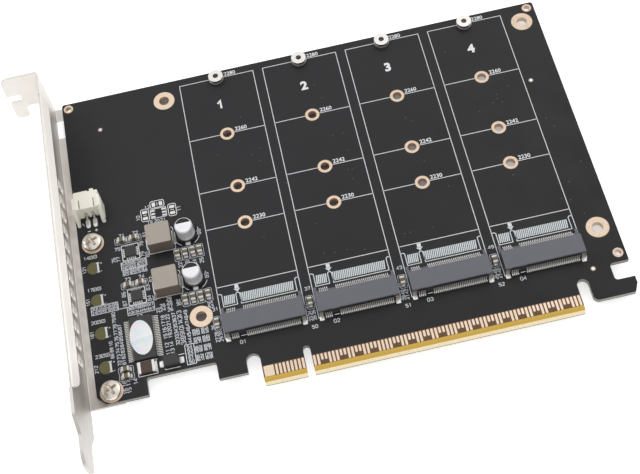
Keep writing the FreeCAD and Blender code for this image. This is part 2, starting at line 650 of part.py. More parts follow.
def bracket_screw(x, y):
    """Pan-head screw with a cross recess, its shank down through the board and the bracket's ear."""
    crown = SCREW_HEAD_H - SCREW_DOME
    profile = [(0, -SCREW_L), (SCREW_SHANK_R, -SCREW_L), (SCREW_SHANK_R, 0), (SCREW_HEAD_R, 0),
               (SCREW_HEAD_R, crown), (SCREW_FLAT_R, SCREW_HEAD_H), (0, SCREW_HEAD_H)]
    head = turned(profile, 0, 0, 0)
    half_l = RECESS_L / 2
    half_w = RECESS_W / 2
    low = SCREW_HEAD_H - RECESS_DEPTH
    cross = [box(-half_l, half_l, -half_w, half_w, low, SCREW_HEAD_H + 1),
             box(-half_w, half_w, -half_l, half_l, low, SCREW_HEAD_H + 1)]
    screw = head.cut(cross)
    screw.rotate(vec(0, 0, 0), vec(0, 0, 1), 30)
    screw.translate(vec(x, y, TOP))
    return screw


# ---------------------------------------------------------------- fan header
def fan_pins():
    """Each pin runs from the mouth to the back wall, drops inside it and leaves along the board."""
    low = TOP + FAN_PIN_Z
    wall = FAN_Y + FAN_BACK_WALL / 2
    tip = FAN_Y + FAN_D
    half = FAN_PIN / 2
    path = [(tip, low), (tip, low + FAN_PIN), (wall - half, low + FAN_PIN),
            (wall - half, TOP + FAN_PIN), (FAN_Y - FAN_TAIL_L, TOP + FAN_PIN),
            (FAN_Y - FAN_TAIL_L, TOP), (wall + half, TOP), (wall + half, low)]
    axes = [FAN_AXIS - FAN_PIN_PITCH / 2, FAN_AXIS + FAN_PIN_PITCH / 2]
    return [plate_yz(sharp(path), x - half, x + half) for x in axes]


def fan_housing():
    """Side-entry shroud: mouth towards +Y, a leg with a solder foot behind each side wall."""
    half = FAN_W / 2
    front = FAN_Y + FAN_D
    nose = front + FAN_NOSE_D
    plan = [(FAN_AXIS - half, FAN_Y, 0), (FAN_AXIS + half, FAN_Y, 0), (FAN_AXIS + half, front, 0),
            (FAN_AXIS + FAN_NOSE_W / 2, front, 0), (FAN_AXIS + FAN_NOSE_W / 2, nose, 0),
            (FAN_AXIS - FAN_NOSE_W / 2, nose, 0), (FAN_AXIS - FAN_NOSE_W / 2, front, 0),
            (FAN_AXIS - half, front, 0)]
    body = plate_xy(plan, TOP, TOP + FAN_H)
    leg = [(FAN_Y, TOP), (FAN_Y, TOP + FAN_H), (FAN_Y - FAN_LEG_L, TOP + FAN_LEG_LOW_H + FAN_FOOT_T),
           (FAN_Y - FAN_LEG_L, TOP + FAN_FOOT_T), (FAN_Y - FAN_LEG_L + FAN_FOOT_L, TOP + FAN_FOOT_T),
           (FAN_Y - FAN_LEG_L + FAN_FOOT_L, TOP)]
    legs = [plate_yz(sharp(leg), FAN_AXIS - half, FAN_AXIS - half + FAN_LEG_W),
            plate_yz(sharp(leg), FAN_AXIS + half - FAN_LEG_W, FAN_AXIS + half)]
    inside = FAN_NOSE_W / 2 - FAN_WALL / 2
    mouth = box(FAN_AXIS - inside, FAN_AXIS + inside, FAN_Y + FAN_BACK_WALL, nose + 1,
                TOP + FAN_WALL, TOP + FAN_H - FAN_WALL)
    slits = [box(x - FAN_SLIT_W / 2, x + FAN_SLIT_W / 2, FAN_Y + 0.1, FAN_Y + 0.1 + FAN_SLIT_L,
                 TOP + FAN_H - FAN_WALL - 0.1, TOP + FAN_H + 1)
             for x in (FAN_AXIS - FAN_SLIT_SPACING / 2, FAN_AXIS + FAN_SLIT_SPACING / 2)]
    return joined([body] + legs).cut([mouth] + slits + fan_pins())


def fan_feet():
    """Tinned hold-down foot under the end of each leg."""
    half = FAN_W / 2
    rear = FAN_Y - FAN_LEG_L
    starts = (FAN_AXIS - half, FAN_AXIS + half - FAN_LEG_W)
    return [box(x, x + FAN_LEG_W, rear, rear + FAN_FOOT_L, TOP, TOP + FAN_FOOT_T) for x in starts]


# ---------------------------------------------------------------- converter parts
def inductor_body(y):
    x = X_LEFT + INDUCTOR_X
    w = INDUCTOR_W / 2
    d = INDUCTOR_D / 2
    r = INDUCTOR_R
    corners = [(x - w, y - d, r), (x + w, y - d, r), (x + w, y + d, r), (x - w, y + d, r)]
    return plate_xy(corners, TOP + TERMINAL_T, TOP + INDUCTOR_H)


def inductor_terminals(y):
    """Tinned strap at each side: it lies under the body and turns up its wall."""
    x = X_LEFT + INDUCTOR_X
    w = INDUCTOR_W / 2
    under = w - TERMINAL_W / 2
    straps = []
    for side in (-1, 1):
        toe = x + side * (w + TERMINAL_REACH)
        profile = [(x + side * under, TOP), (toe, TOP), (toe, TOP + TERMINAL_T),
                   (x + side * (w + TERMINAL_T), TOP + TERMINAL_H),
                   (x + side * w, TOP + TERMINAL_H), (x + side * w, TOP + TERMINAL_T),
                   (x + side * under, TOP + TERMINAL_T)]
        straps.append(plate_xz(sharp(profile), y - TERMINAL_W / 2, y + TERMINAL_W / 2))
    return straps


def capacitor_base(y):
    """Black seat of an electrolytic can: square, with two chamfered corners on one side."""
    x = X_LEFT + CAN_X
    h = CAN_BASE_HALF
    c = CAN_BASE_CHAMFER
    corners = [(x - h, y + h), (x - h, y - h + c), (x - h + c, y - h), (x + h - c, y - h), (x + h, y - h + c),
               (x + h, y + h)]
    return plate_xy(sharp(corners), TOP + CAN_LEAD_T, TOP + CAN_BASE_T)


def capacitor_can(y):
    """Drawn can with a chamfered rim and a crimp groove, standing on its seat."""
    groove = CAN_BASE_T + CAN_GROOVE_Z
    neck = CAN_R - CAN_GROOVE_DEPTH
    profile = [(0, CAN_BASE_T), (CAN_R, CAN_BASE_T), (CAN_R, groove - CAN_GROOVE_HALF), (neck, groove),
               (CAN_R, groove + CAN_GROOVE_HALF), (CAN_R, CAN_H - CAN_EDGE), (CAN_R - CAN_EDGE, CAN_H),
               (0, CAN_H)]
    return turned(profile, X_LEFT + CAN_X, y, TOP)


def capacitor_leads(y):
    """Flat lead under each end of the seat."""
    x = X_LEFT + CAN_X
    half = CAN_LEAD_W / 2
    reach = CAN_BASE_HALF + CAN_LEAD_L
    return [box(x - half, x + half, y - reach, y - 0.5, TOP, TOP + CAN_LEAD_T),
            box(x - half, x + half, y + 0.5, y + reach, TOP, TOP + CAN_LEAD_T)]


def converter_chip(y):
    x = X_LEFT + CONVERTER_X
    half = CONVERTER_SIDE / 2
    return box(x - half, x + half, y - half, y + half, TOP, TOP + CONVERTER_H)


# ---------------------------------------------------------------- clock buffer
def buffer_body():
    """Moulded body, drafted above and below its lead line."""
    x = X_LEFT + BUFFER_X
    w = BUFFER_W / 2
    e = BUFFER_EDGE
    low = TOP + BUFFER_LIFT
    middle = TOP + BUFFER_H / 2
    section = [(x - w + e, low), (x + w - e, low), (x + w, middle), (x + w - e, TOP + BUFFER_H),
               (x - w + e, TOP + BUFFER_H), (x - w, middle)]
    return plate_xz(sharp(section), BUFFER_Y - BUFFER_L / 2, BUFFER_Y + BUFFER_L / 2)


def buffer_leads():
    """Gull-wing leads down both long sides."""
    x = X_LEFT + BUFFER_X
    w = BUFFER_W / 2
    t = BUFFER_LEAD_T
    middle = TOP + BUFFER_H / 2
    slope = BUFFER_EDGE * (t / 2) / (BUFFER_H / 2)
    leads = []
    for side in (-1, 1):
        foot = w + BUFFER_LEAD_REACH
        profile = [(x + side * (w - slope), middle + t / 2), (x + side * w, middle),
                   (x + side * (w + 0.35), TOP), (x + side * foot, TOP), (x + side * foot, TOP + t),
                   (x + side * (w + 0.5), TOP + t)]
        for i in range(BUFFER_PINS):
            y = BUFFER_Y + (i - (BUFFER_PINS - 1) / 2) * BUFFER_PITCH
            leads.append(plate_xz(sharp(profile), y - BUFFER_LEAD_W / 2, y + BUFFER_LEAD_W / 2))
    return leads


def oval_sticker():
    """Blank oval paper sticker on the clock buffer."""
    ellipse = Part.Ellipse(vec(0, 0, 0), STICKER_HALF_L, STICKER_HALF_W).toShape()
    sticker = Part.Face(Part.Wire([ellipse])).extrude(vec(0, 0, STICKER_T))
    sticker.rotate(vec(0, 0, 0), vec(0, 0, 1), 90 + STICKER_TILT_DEG)
    sticker.translate(vec(X_LEFT + BUFFER_X - 0.35, BUFFER_Y, TOP + BUFFER_H))
    return sticker


# ---------------------------------------------------------------- small two-terminal parts
def fuse_body():
    x = X_LEFT + FUSE_X
    half = FUSE_W / 2 - FUSE_CAP
    return box(x - half, x + half, FUSE_Y - FUSE_D / 2, FUSE_Y + FUSE_D / 2, TOP, TOP + FUSE_H)


def fuse_caps():
    x = X_LEFT + FUSE_X
    half = FUSE_W / 2
    y0 = FUSE_Y - FUSE_D / 2
    y1 = FUSE_Y + FUSE_D / 2
    return [box(x - half, x - half + FUSE_CAP, y0, y1, TOP, TOP + FUSE_H),
            box(x + half - FUSE_CAP, x + half, y0, y1, TOP, TOP + FUSE_H)]


def diode_body():
    """Moulded body with drafted ends."""
    x = X_LEFT + DIODE_X
    w = DIODE_W / 2
    section = [(x - w, TOP), (x + w, TOP), (x + w - DIODE_DRAFT, TOP + DIODE_H),
               (x - w + DIODE_DRAFT, TOP + DIODE_H)]
    return plate_xz(sharp(section), DIODE_Y - DIODE_D / 2, DIODE_Y + DIODE_D / 2)


def diode_leads():
    x = X_LEFT + DIODE_X
    w = DIODE_W / 2
    half = DIODE_LEAD_W / 2
    out = w + DIODE_LEAD_REACH
    return [box(x - out, x - w, DIODE_Y - half, DIODE_Y + half, TOP, TOP + DIODE_LEAD_T),
            box(x + w, x + out, DIODE_Y - half, DIODE_Y + half, TOP, TOP + DIODE_LEAD_T)]


def chip_capacitor(x, y, along_x):
    """Ceramic block between two end caps of the same section."""
    long_half = CHIP_CAP_L / 2
    wide_half = CHIP_CAP_W / 2
    core_half = long_half - CHIP_CAP_END
    spans = ((-core_half, core_half), (-long_half, -core_half), (core_half, long_half))
    pieces = []
    for low, high in spans:
        if along_x:
            pieces.append(box(x + low, x + high, y - wide_half, y + wide_half, TOP, TOP + CHIP_CAP_H))
        else:
            pieces.append(box(x - wide_half, x + wide_half, y + low, y + high, TOP, TOP + CHIP_CAP_H))
    return pieces


def ceramic_capacitors():
    pieces = [chip_capacitor(X_LEFT + x, y, True) for x, y in CAPS_ALONG_X]
    pieces += [chip_capacitor(X_LEFT + x, y, False) for x, y in CAPS_ALONG_Y]
    pieces += [chip_capacitor(lane - SOCKET_W / 2 - LANE_CAP_GAP, LANE_CAP_Y, False) for lane in LANES]
    bodies = [piece[0] for piece in pieces]
    ends = [end for piece in pieces for end in piece[1:]]
    return bodies, ends


# ---------------------------------------------------------------- the card
os.makedirs("parts", exist_ok=True)

write("circuit_board", circuit_board())
write("edge_contacts_front", edge_contacts(TOP, TOP + FINGER_T, SHORT_FRONT, (1, 2, 3)))
write("edge_contacts_back", edge_contacts(UNDERSIDE - FINGER_T, UNDERSIDE, SHORT_BACK, ()))

for i, lane_axis in enumerate(LANES, start=1):
    write("drive_socket_%d" % i, socket_housing(lane_axis))
    write("socket_contacts_%d" % i, socket_contacts(lane_axis))
    write("socket_anchors_%d" % i, socket_anchors(lane_axis))
    write("drive_standoff_%d" % i, drive_standoff(lane_axis))

write("bracket", bracket())
write("bracket_screws", [bracket_screw(x, y) for x, y in SCREWS])

write("fan_header_housing", fan_housing())
write("fan_header_pins", fan_pins())
write("fan_header_feet", fan_feet())

for i, place_y in enumerate(INDUCTOR_Y, start=1):
    write("inductor_body_%d" % i, inductor_body(place_y))
    write("inductor_terminals_%d" % i, inductor_terminals(place_y))

for i, place_y in enumerate(CAN_Y, start=1):
    write("capacitor_base_%d" % i, capacitor_base(place_y))
    write("capacitor_can_%d" % i, capacitor_can(place_y))
    write("capacitor_leads_%d" % i, capacitor_leads(place_y))

for i, place_y in enumerate(CONVERTER_Y, start=1):
    write("converter_chip_%d" % i, converter_chip(place_y))

write("clock_buffer_body", buffer_body())
write("clock_buffer_leads", buffer_leads())
write("oval_sticker", oval_sticker())
write("fuse_body", fuse_body())
write("fuse_caps", fuse_caps())
write("diode_body", diode_body())
write("diode_leads", diode_leads())

capacitor_bodies, capacitor_ends = ceramic_capacitors()
write("ceramic_capacitor_bodies", capacitor_bodies)
write("ceramic_capacitor_ends", capacitor_ends)
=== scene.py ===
"""Looks of the adapter card: plating, solder, white print, contact detail, finishes, light and camera.

Every size is in millimetres in the card's own frame, and shapes are scaled to metres when they are placed.
"""
import json
import math

import bmesh
import bpy
from mathutils import Matrix, Vector


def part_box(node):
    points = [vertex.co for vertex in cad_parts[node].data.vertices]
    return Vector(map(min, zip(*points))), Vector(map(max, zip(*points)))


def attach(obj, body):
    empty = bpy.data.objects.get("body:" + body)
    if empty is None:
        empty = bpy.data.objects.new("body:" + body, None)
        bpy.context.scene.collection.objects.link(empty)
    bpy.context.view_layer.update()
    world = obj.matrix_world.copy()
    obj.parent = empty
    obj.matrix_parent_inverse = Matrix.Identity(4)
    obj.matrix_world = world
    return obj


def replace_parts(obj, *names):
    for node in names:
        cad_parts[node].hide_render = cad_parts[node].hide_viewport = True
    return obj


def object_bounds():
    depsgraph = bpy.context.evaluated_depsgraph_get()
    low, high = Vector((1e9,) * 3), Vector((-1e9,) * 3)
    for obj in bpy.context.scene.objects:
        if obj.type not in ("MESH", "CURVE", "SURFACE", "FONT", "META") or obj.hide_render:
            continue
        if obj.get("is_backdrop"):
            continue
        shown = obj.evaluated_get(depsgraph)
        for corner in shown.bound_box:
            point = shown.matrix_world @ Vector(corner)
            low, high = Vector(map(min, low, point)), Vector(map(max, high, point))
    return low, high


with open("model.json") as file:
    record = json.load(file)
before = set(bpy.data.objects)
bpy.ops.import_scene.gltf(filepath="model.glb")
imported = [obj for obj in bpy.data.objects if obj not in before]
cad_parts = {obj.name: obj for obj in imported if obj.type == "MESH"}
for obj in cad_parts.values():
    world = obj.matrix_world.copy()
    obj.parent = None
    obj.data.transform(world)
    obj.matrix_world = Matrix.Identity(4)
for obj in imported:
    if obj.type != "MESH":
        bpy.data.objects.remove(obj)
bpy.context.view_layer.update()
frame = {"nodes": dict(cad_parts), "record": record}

MM = 0.001

nodes = frame["nodes"]
mounts = {m["name"]: m for m in frame["record"]["mounts"]}


def node_box(name):
    """A CAD node's lowest and highest corners, in millimetres."""
    low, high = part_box(name)
    return [v / MM for v in low], [v / MM for v in high]


def solids(name):
    """The boxes of a node's separate solids, in millimetres, lowest y first and then from left to right."""
    mesh = nodes[name].data
    leader = {}

    def find(key):
        while leader[key] != key:
            leader[key] = leader[leader[key]]
            key = leader[key]
        return key

    keys = [tuple(round(c / MM, 4) for c in v.co) for v in mesh.vertices]
    for key in keys:
        leader[key] = key
    for face in mesh.polygons:
        first = find(keys[face.vertices[0]])
        for index in face.vertices[1:]:
            leader[find(keys[index])] = first
    groups = {}
    for key in keys:
        groups.setdefault(find(key), []).append(key)
    boxes = [([min(c) for c in zip(*g)], [max(c) for c in zip(*g)]) for g in groups.values()]
    return sorted(boxes, key=lambda b: (round(b[0][1], 1), b[0][0]))


def middle(box):
    return [(a + b) / 2 for a, b in zip(*box)]


# ------------------------------------------------------------------ places read from the frame
BOARD_LOW, BOARD_HIGH = node_box("circuit_board")
TOP = BOARD_HIGH[2]
UNDERSIDE = BOARD_LOW[2]
LANES = [mounts["drive_socket_mouth_%d" % i]["pos_m"][0] / MM for i in (1, 2, 3, 4)]
ROWS = {"2280": mounts["standoffs_2280_drives_1_2"]["pos_m"][1] / MM}
for length in ("2260", "2242", "2230"):
    ROWS[length] = mounts["drive_holes_%s_drives_1_2" % length]["pos_m"][1] / MM
DRIVE_HOLE_R = 1.3
DRIVE_RING_R = 2.05
CORNER_RING_R = 3.08
TOOLING_HOLE_R = 0.9
TOOLING_RING_R = 1.37
TOOLING_INSETS = (1.85, 2.1, 1.85)  # from the bracket's side, the free end and the far edge
TOOLING_LOW_Y = 14.6
SCREW_PAD_R = (1.7, 3.1)        # inner and outer
STANDOFF_PAD_R = (1.3, 2.2)
FIDUCIALS = ((-45.0, 89.45), (79.1, 73.65), (77.6, 11.6))
FIDUCIAL_R = (0.5, 0.75)        # dot and clearance
CORNERS = mounts["corner_holes"]
CORNER_MID = [v / MM for v in CORNERS["pos_m"]]
CORNER_HALF_X = CORNERS["dims"]["spacing_x_mm"] / 2
CORNER_HALF_Y = CORNERS["dims"]["spacing_y_mm"] / 2
CORNER_HOLE_R = CORNERS["dims"]["hole_r_mm"]
SCREWS = [middle(b) for b in solids("bracket_screws")]
FINGERS_LOW, FINGERS_HIGH = node_box("edge_contacts_front")
TONGUE_MARGIN = 1.2             # end contacts to the ends of the tongue
TONGUE_Y = 5.35                 # end of the bare laminate round the edge contacts
BEVEL_Y = 2.15                  # nearer the tip than this, the tongue is amber
TIP_Y = 0.85                    # and nearer than this it is pale
CORE_HALF = 0.62                # half of the paler band along the middle of a cut edge

PAD_T = 0.035                   # copper and plating over the mask
PRINT_T = 0.02                  # white ink over the mask
BARREL_T = 0.04                 # plating inside a hole
RIM_W = 0.09                    # bare laminate between a pad and the mask
RIM_T = 0.004
HOLE_SEGMENTS = 56


# ------------------------------------------------------------------ mesh building
MOUND_SIDES = 16


def new_object(name, data):
    """An object for some data, linked into the scene."""
    obj = bpy.data.objects.new(name, data)
    bpy.context.scene.collection.objects.link(obj)
    return obj


class Shape:
    """Closed solids in millimetres, gathered into one piece."""

    def __init__(self, name):
        self.name = name
        self.bm = bmesh.new()

    def skin(self, loops, ring=False):
        """Joins closed loops of points into one surface, whose ends are capped unless it is a ring."""
        rows = [[self.bm.verts.new(p) for p in loop] for loop in loops]
        count = len(rows[0])
        pairs = list(zip(rows, rows[1:]))
        if ring:
            pairs.append((rows[-1], rows[0]))
        for a, b in pairs:
            for i in range(count):
                j = (i + 1) % count
                self.bm.faces.new((a[i], a[j], b[j], b[i]))
        if not ring:
            self.bm.faces.new(list(reversed(rows[0])))
            self.bm.faces.new(rows[-1])

    def plate(self, outline, low, high):
        """A flat piece with the plan outline (x, y), anticlockwise, between two heights."""
        self.skin([[(x, y, low) for x, y in outline], [(x, y, high) for x, y in outline]])

    def block(self, low, high):
        x0, y0, z0 = low
        x1, y1, z1 = high
        self.plate([(x0, y0), (x1, y0), (x1, y1), (x0, y1)], z0, z1)

    def bar(self, profile, x0, x1):
        """A profile of (y, z) points drawn out from x0 to x1."""
        self.skin([[(x, y, z) for y, z in profile] for x in (x0, x1)])

    def turned(self, x, y, profile, segments=40):
        """A profile of (radius, height) points turned about an upright axis at x, y."""
        loops = []
        for k in range(segments):
            a = 2 * math.pi * k / segments
            loops.append([(x + r * math.cos(a), y + r * math.sin(a), z) for r, z in profile])
        self.skin(loops, ring=True)

    def stroke(self, points, width, low, high, closed=False):
        """A printed line of even width with mitred corners."""
        count = len(points)
        left, right = [], []
        for i, p in enumerate(points):
            before = points[i - 1] if (i or closed) else None
            after = points[(i + 1) % count] if (i + 1 < count or closed) else None
            steps = []
            if before is not None:
                steps.append(Vector((p[0] - before[0], p[1] - before[1])).normalized())
            if after is not None:
                steps.append(Vector((after[0] - p[0], after[1] - p[1])).normalized())
            normals = [Vector((-s.y, s.x)) for s in steps]
            out = sum(normals, Vector((0, 0)))
            out = out.normalized() if out.length > 1e-6 else normals[0]
            reach = min(width / 2 / max(out.dot(normals[0]), 0.4), width)
            left.append((p[0] + out.x * reach, p[1] + out.y * reach))
            right.append((p[0] - out.x * reach, p[1] - out.y * reach))
        sections = []
        for a, b in zip(left, right):
            sections.append([(*a, high), (*b, high), (*b, low), (*a, low)])
        self.skin(sections, ring=closed)

    def mound(self, x, y, half_x, half_y, base, height, steps=6, power=3.0):
        """A rounded heap of solder on a rectangular pad."""
        loops = []
        for k in range(steps + 1):
            t = k / steps
            size = math.cos(t * math.pi / 2) ** 0.6 if k < steps else 0.02
            z = base + height * math.sin(t * math.pi / 2)
            loop = []
            for n in range(MOUND_SIDES):
                a = 2 * math.pi * (n + 0.5) / MOUND_SIDES
                c, s = math.cos(a), math.sin(a)
                loop.append((x + half_x * size * abs(c) ** (2 / power) * math.copysign(1, c),
                             y + half_y * size * abs(s) ** (2 / power) * math.copysign(1, s), z))
            loops.append(loop)
        self.skin(loops)

    def add_mesh(self, mesh, matrix):
        """Copies a mesh that is already in millimetres into this piece."""
        start = len(self.bm.verts)
        self.bm.from_mesh(mesh)
        self.bm.verts.ensure_lookup_table()
        for v in self.bm.verts[start:]:
            v.co = matrix @ v.co

    def carve(self, cutters):
        """Takes another piece's solids out of this one."""
        objects = []
        for shape in (self, cutters):
            bmesh.ops.recalc_face_normals(shape.bm, faces=shape.bm.faces)
            mesh = bpy.data.meshes.new(shape.name)
            shape.bm.to_mesh(mesh)
            objects.append(new_object(shape.name, mesh))
        cut = objects[0].modifiers.new("cut", "BOOLEAN")
        cut.object = objects[1]
        cut.solver = "EXACT"
        cut.use_self = True
        scene_state = bpy.context.evaluated_depsgraph_get()
        result = bpy.data.meshes.new_from_object(objects[0].evaluated_get(scene_state))
        self.bm.clear()
        self.bm.from_mesh(result)
        cutters.bm.free()
        for mesh in [result] + [obj.data for obj in objects]:
            bpy.data.meshes.remove(mesh)

    def place(self, material, slot, smooth=None):
        """Puts the piece into the scene, riding on the card; edges over `smooth` degrees stay sharp."""
        bmesh.ops.recalc_face_normals(self.bm, faces=self.bm.faces)
        bmesh.ops.scale(self.bm, vec=(MM, MM, MM), verts=self.bm.verts)
        mesh = bpy.data.meshes.new(self.name)
        self.bm.to_mesh(mesh)
        self.bm.free()
        if smooth is not None:
            mesh.polygons.foreach_set("use_smooth", [True] * len(mesh.polygons))
            mesh.set_sharp_from_angle(angle=math.radians(smooth))
        obj = new_object(self.name, mesh)
        obj.data.materials.append(material)
        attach(obj, "root")
        return obj


def arc(x, y, r, start, end, steps=16):
    """Points of an arc in plan, between two angles in degrees."""
    out = []
    for k in range(steps + 1):
        a = math.radians(start + (end - start) * k / steps)
        out.append((x + r * math.cos(a), y + r * math.sin(a)))
    return out


def round_box(x0, y0, x1, y1, r):
    """The outline of a rectangle with round corners, anticlockwise."""
    corners = ((x1 - r, y0 + r, -90), (x1 - r, y1 - r, 0), (x0 + r, y1 - r, 90), (x0 + r, y0 + r, 180))
    return [p for x, y, start in corners for p in arc(x, y, r, start, start + 90, 4)]


# ------------------------------------------------------------------ materials
class Nodes:
    """A node tree, with short ways to add and link its nodes."""

    def __init__(self, tree):
        self.tree = tree

    def node(self, kind, **settings):
        made = self.tree.nodes.new(kind)
        for key, value in settings.items():
            setattr(made, key, value)
        return made

    def link(self, source, target):
        self.tree.links.new(source, target)

    def feed(self, value, socket):
        """Links an output, or sets a plain number."""
        if isinstance(value, (int, float)):
            socket.default_value = value
        else:
            self.link(value, socket)

    def fill(self, made, values):
        """Sets a node's inputs to plain values."""
        for key, value in values.items():
            made.inputs[key].default_value = value

    def math(self, operation, a, b=0.0):
        made = self.node("ShaderNodeMath", operation=operation)
        self.feed(a, made.inputs[0])
        self.feed(b, made.inputs[1])
        return made.outputs[0]


class Finish(Nodes):
    """A procedural material: a principled surface with its variation, wear and relief."""

    def __init__(self, name, colour, roughness, metallic=0.0, specular=0.5):
        self.material = bpy.data.materials.new(name)
        self.material.use_nodes = True
        super().__init__(self.material.node_tree)
        self.bsdf = self.tree.nodes["Principled BSDF"]
        self.fill(self.bsdf, {"Base Color": (*colour, 1), "Roughness": roughness, "Metallic": metallic,
                              "Specular IOR Level": specular})
        self.colour = colour
        self.paint = None
        self.relief = None
        self.place = self.node("ShaderNodeTexCoord").outputs["Object"]

    def axis(self, letter):
        """The place along one axis of the card, in millimetres."""
        split = self.node("ShaderNodeSeparateXYZ")
        self.link(self.place, split.inputs[0])
        return self.math("MULTIPLY", split.outputs[letter], 1 / MM)

    def noise(self, size, detail=3.0, stretch=(1, 1, 1)):
        """Noise whose features are about `size` millimetres wide."""
        mapping = self.node("ShaderNodeMapping")
        mapping.inputs["Scale"].default_value = [s / (size * MM) for s in stretch]
        self.link(self.place, mapping.inputs["Vector"])
        made = self.node("ShaderNodeTexNoise")
        self.fill(made, {"Scale": 1.0, "Detail": detail})
        self.link(mapping.outputs[0], made.inputs["Vector"])
        return made.outputs["Fac"]

    def spread(self, value, low, high, out_low=0.0, out_high=1.0):
        """Maps the values from low to high onto out_low to out_high, and holds them there beyond."""
        made = self.node("ShaderNodeMapRange")
        self.feed(value, made.inputs["Value"])
        self.fill(made, {"From Min": low, "From Max": high, "To Min": out_low, "To Max": out_high})
        return made.outputs[0]

    def tint(self, mask, colour):
        """Paints a colour where the mask is 1, over what is there."""
        mix = self.node("ShaderNodeMix", data_type="RGBA")
        self.feed(mask, mix.inputs["Factor"])
        if self.paint is None:
            mix.inputs["A"].default_value = (*self.colour, 1)
        else:
            self.link(self.paint, mix.inputs["A"])
        mix.inputs["B"].default_value = (*colour, 1)
        self.paint = mix.outputs["Result"]

    def mottle(self, size, amount, colour, stretch=(1, 1, 1)):
        """Soft patches of another colour."""
        self.tint(self.spread(self.noise(size, stretch=stretch), 0.3, 0.7, 0.0, amount), colour)

    def vary_roughness(self, size, low, high, stretch=(1, 1, 1)):
        self.link(self.spread(self.noise(size, stretch=stretch), 0.3, 0.7, low, high),
                  self.bsdf.inputs["Roughness"])

    def bump(self, height, depth):
        """Relief of a given depth in millimetres."""
        made = self.node("ShaderNodeBump")
        made.inputs["Distance"].default_value = depth * MM
        self.link(height, made.inputs["Height"])
        if self.relief is not None:
            self.link(self.relief, made.inputs["Normal"])
        self.relief = made.outputs["Normal"]

    def between(self, value, low, high):
        """1 where low < value < high."""
        return self.every([self.math("GREATER_THAN", value, low), self.math("LESS_THAN", value, high)])

    def every(self, masks):
        """1 where every mask is 1."""
        out = masks[0]
        for mask in masks[1:]:
            out = self.math("MULTIPLY", out, mask)
        return out

    def upright(self):
        """1 on the faces that stand up from the board."""
        split = self.node("ShaderNodeSeparateXYZ")
        self.link(self.node("ShaderNodeNewGeometry").outputs["True Normal"], split.inputs[0])
        return self.math("LESS_THAN", self.math("ABSOLUTE", split.outputs["Z"]), 0.5)

    def done(self):
        if self.paint is not None:
            self.link(self.paint, self.bsdf.inputs["Base Color"])
        if self.relief is not None:
            self.link(self.relief, self.bsdf.inputs["Normal"])
        return self.material


def toned(colour, factor):
    """A colour made darker or lighter."""
    return tuple(min(1, c * factor) for c in colour)


def solder_mask():
    """Black mask, bare laminate on the tongue and along every cut edge, and painted shade darkening the mask
    towards the free end and the edge contacts.
    """
    f = Finish("black_solder_mask", (0.0130, 0.0130, 0.0150), 0.44, specular=0.32)
    f.mottle(18.0, 0.6, (0.0155, 0.0155, 0.018))
    f.mottle(0.6, 0.3, (0.0095, 0.0095, 0.011))
    x, y, z = f.axis("X"), f.axis("Y"), f.axis("Z")
    # painted shade: the mask darker towards +x and -y, as its reflection dims there
    f.tint(f.spread(f.math("SUBTRACT", x, y), -60.0, 60.0, 0.0, 0.9), (0.0045, 0.0045, 0.0055))
    tongue = f.between(x, FINGERS_LOW[0] - TONGUE_MARGIN, FINGERS_HIGH[0] + TONGUE_MARGIN)
    for end, colour in ((TONGUE_Y, (0.125, 0.062, 0.030)), (BEVEL_Y, (0.58, 0.37, 0.06)),
                        (TIP_Y, (0.93, 0.82, 0.55))):
        f.tint(f.every([tongue, f.math("LESS_THAN", y, end)]), colour)
    grain = f.spread(f.noise(0.35, 4.0), 0.45, 0.65, 0.0, 0.45)
    f.tint(f.every([grain, tongue, f.math("LESS_THAN", y, TIP_Y)]), (0.72, 0.56, 0.30))
    upright = f.upright()
    f.tint(upright, (0.19, 0.18, 0.165))
    core = f.every([upright, f.between(z, -CORE_HALF, CORE_HALF)])
    f.tint(core, (0.35, 0.33, 0.30))
    streaks = f.spread(f.noise(0.25, 2.0, (0.2, 0.2, 2.0)), 0.4, 0.6, 0.0, 0.5)
    f.tint(f.every([core, streaks]), (0.22, 0.20, 0.17))
    f.vary_roughness(9.0, 0.38, 0.50)
    f.bump(f.noise(0.7, 4.0), 0.004)
    return f.done()


def gold(name, colour, rough):
    """Matt immersion gold, painted darker towards the card's free end as shade."""
    f = Finish(name, colour, rough, metallic=0.75)
    # painted shade: the gold darker towards the free end
    f.tint(f.spread(f.axis("X"), -40.0, 80.0), toned(colour, 0.78))
    f.mottle(1.4, 0.35, toned(colour, 1.08))
    f.mottle(0.3, 0.25, toned(colour, 0.88))
    f.vary_roughness(0.8, rough - 0.06, rough + 0.10)
    f.bump(f.noise(0.15, 3.0), 0.002)
    return f.done()


def finger_gold():
    """Hard gold on the edge contacts, with fine lengthwise rub marks."""
    f = Finish("hard_gold", (0.79, 0.625, 0.475), 0.42, metallic=0.75)
    f.mottle(2.5, 0.5, (0.83, 0.69, 0.56))
    rub = f.noise(0.12, 3.0, (1.0, 0.06, 1.0))
    f.tint(f.spread(rub, 0.45, 0.75, 0.0, 0.35), (0.66, 0.44, 0.29))
    f.vary_roughness(0.5, 0.36, 0.5, stretch=(1, 0.2, 1))
    f.bump(rub, 0.002)
    return f.done()


def nickel(name, colour, rough, brushed=(1, 1, 1), size=1.0, metallic=1.0, shade_below=None):
    """Plated metal; it can be painted darker under a given y, as shade on the sheet's lower end."""
    f = Finish(name, colour, rough, metallic=metallic)
    if shade_below is not None:
        # painted shade: the sheet darker under the given y, where its reflections are darker
        f.tint(f.spread(f.axis("Y"), shade_below, shade_below - 6.0), toned(colour, 0.77))
    f.mottle(12.0, 0.35, toned(colour, 0.93))
    f.mottle(size * 0.25, 0.2, toned(colour, 0.85), stretch=brushed)
    f.vary_roughness(size, rough - 0.05, rough + 0.08, stretch=brushed)
    f.bump(f.noise(size * 0.2, 3.0, brushed), 0.002)
    return f.done()


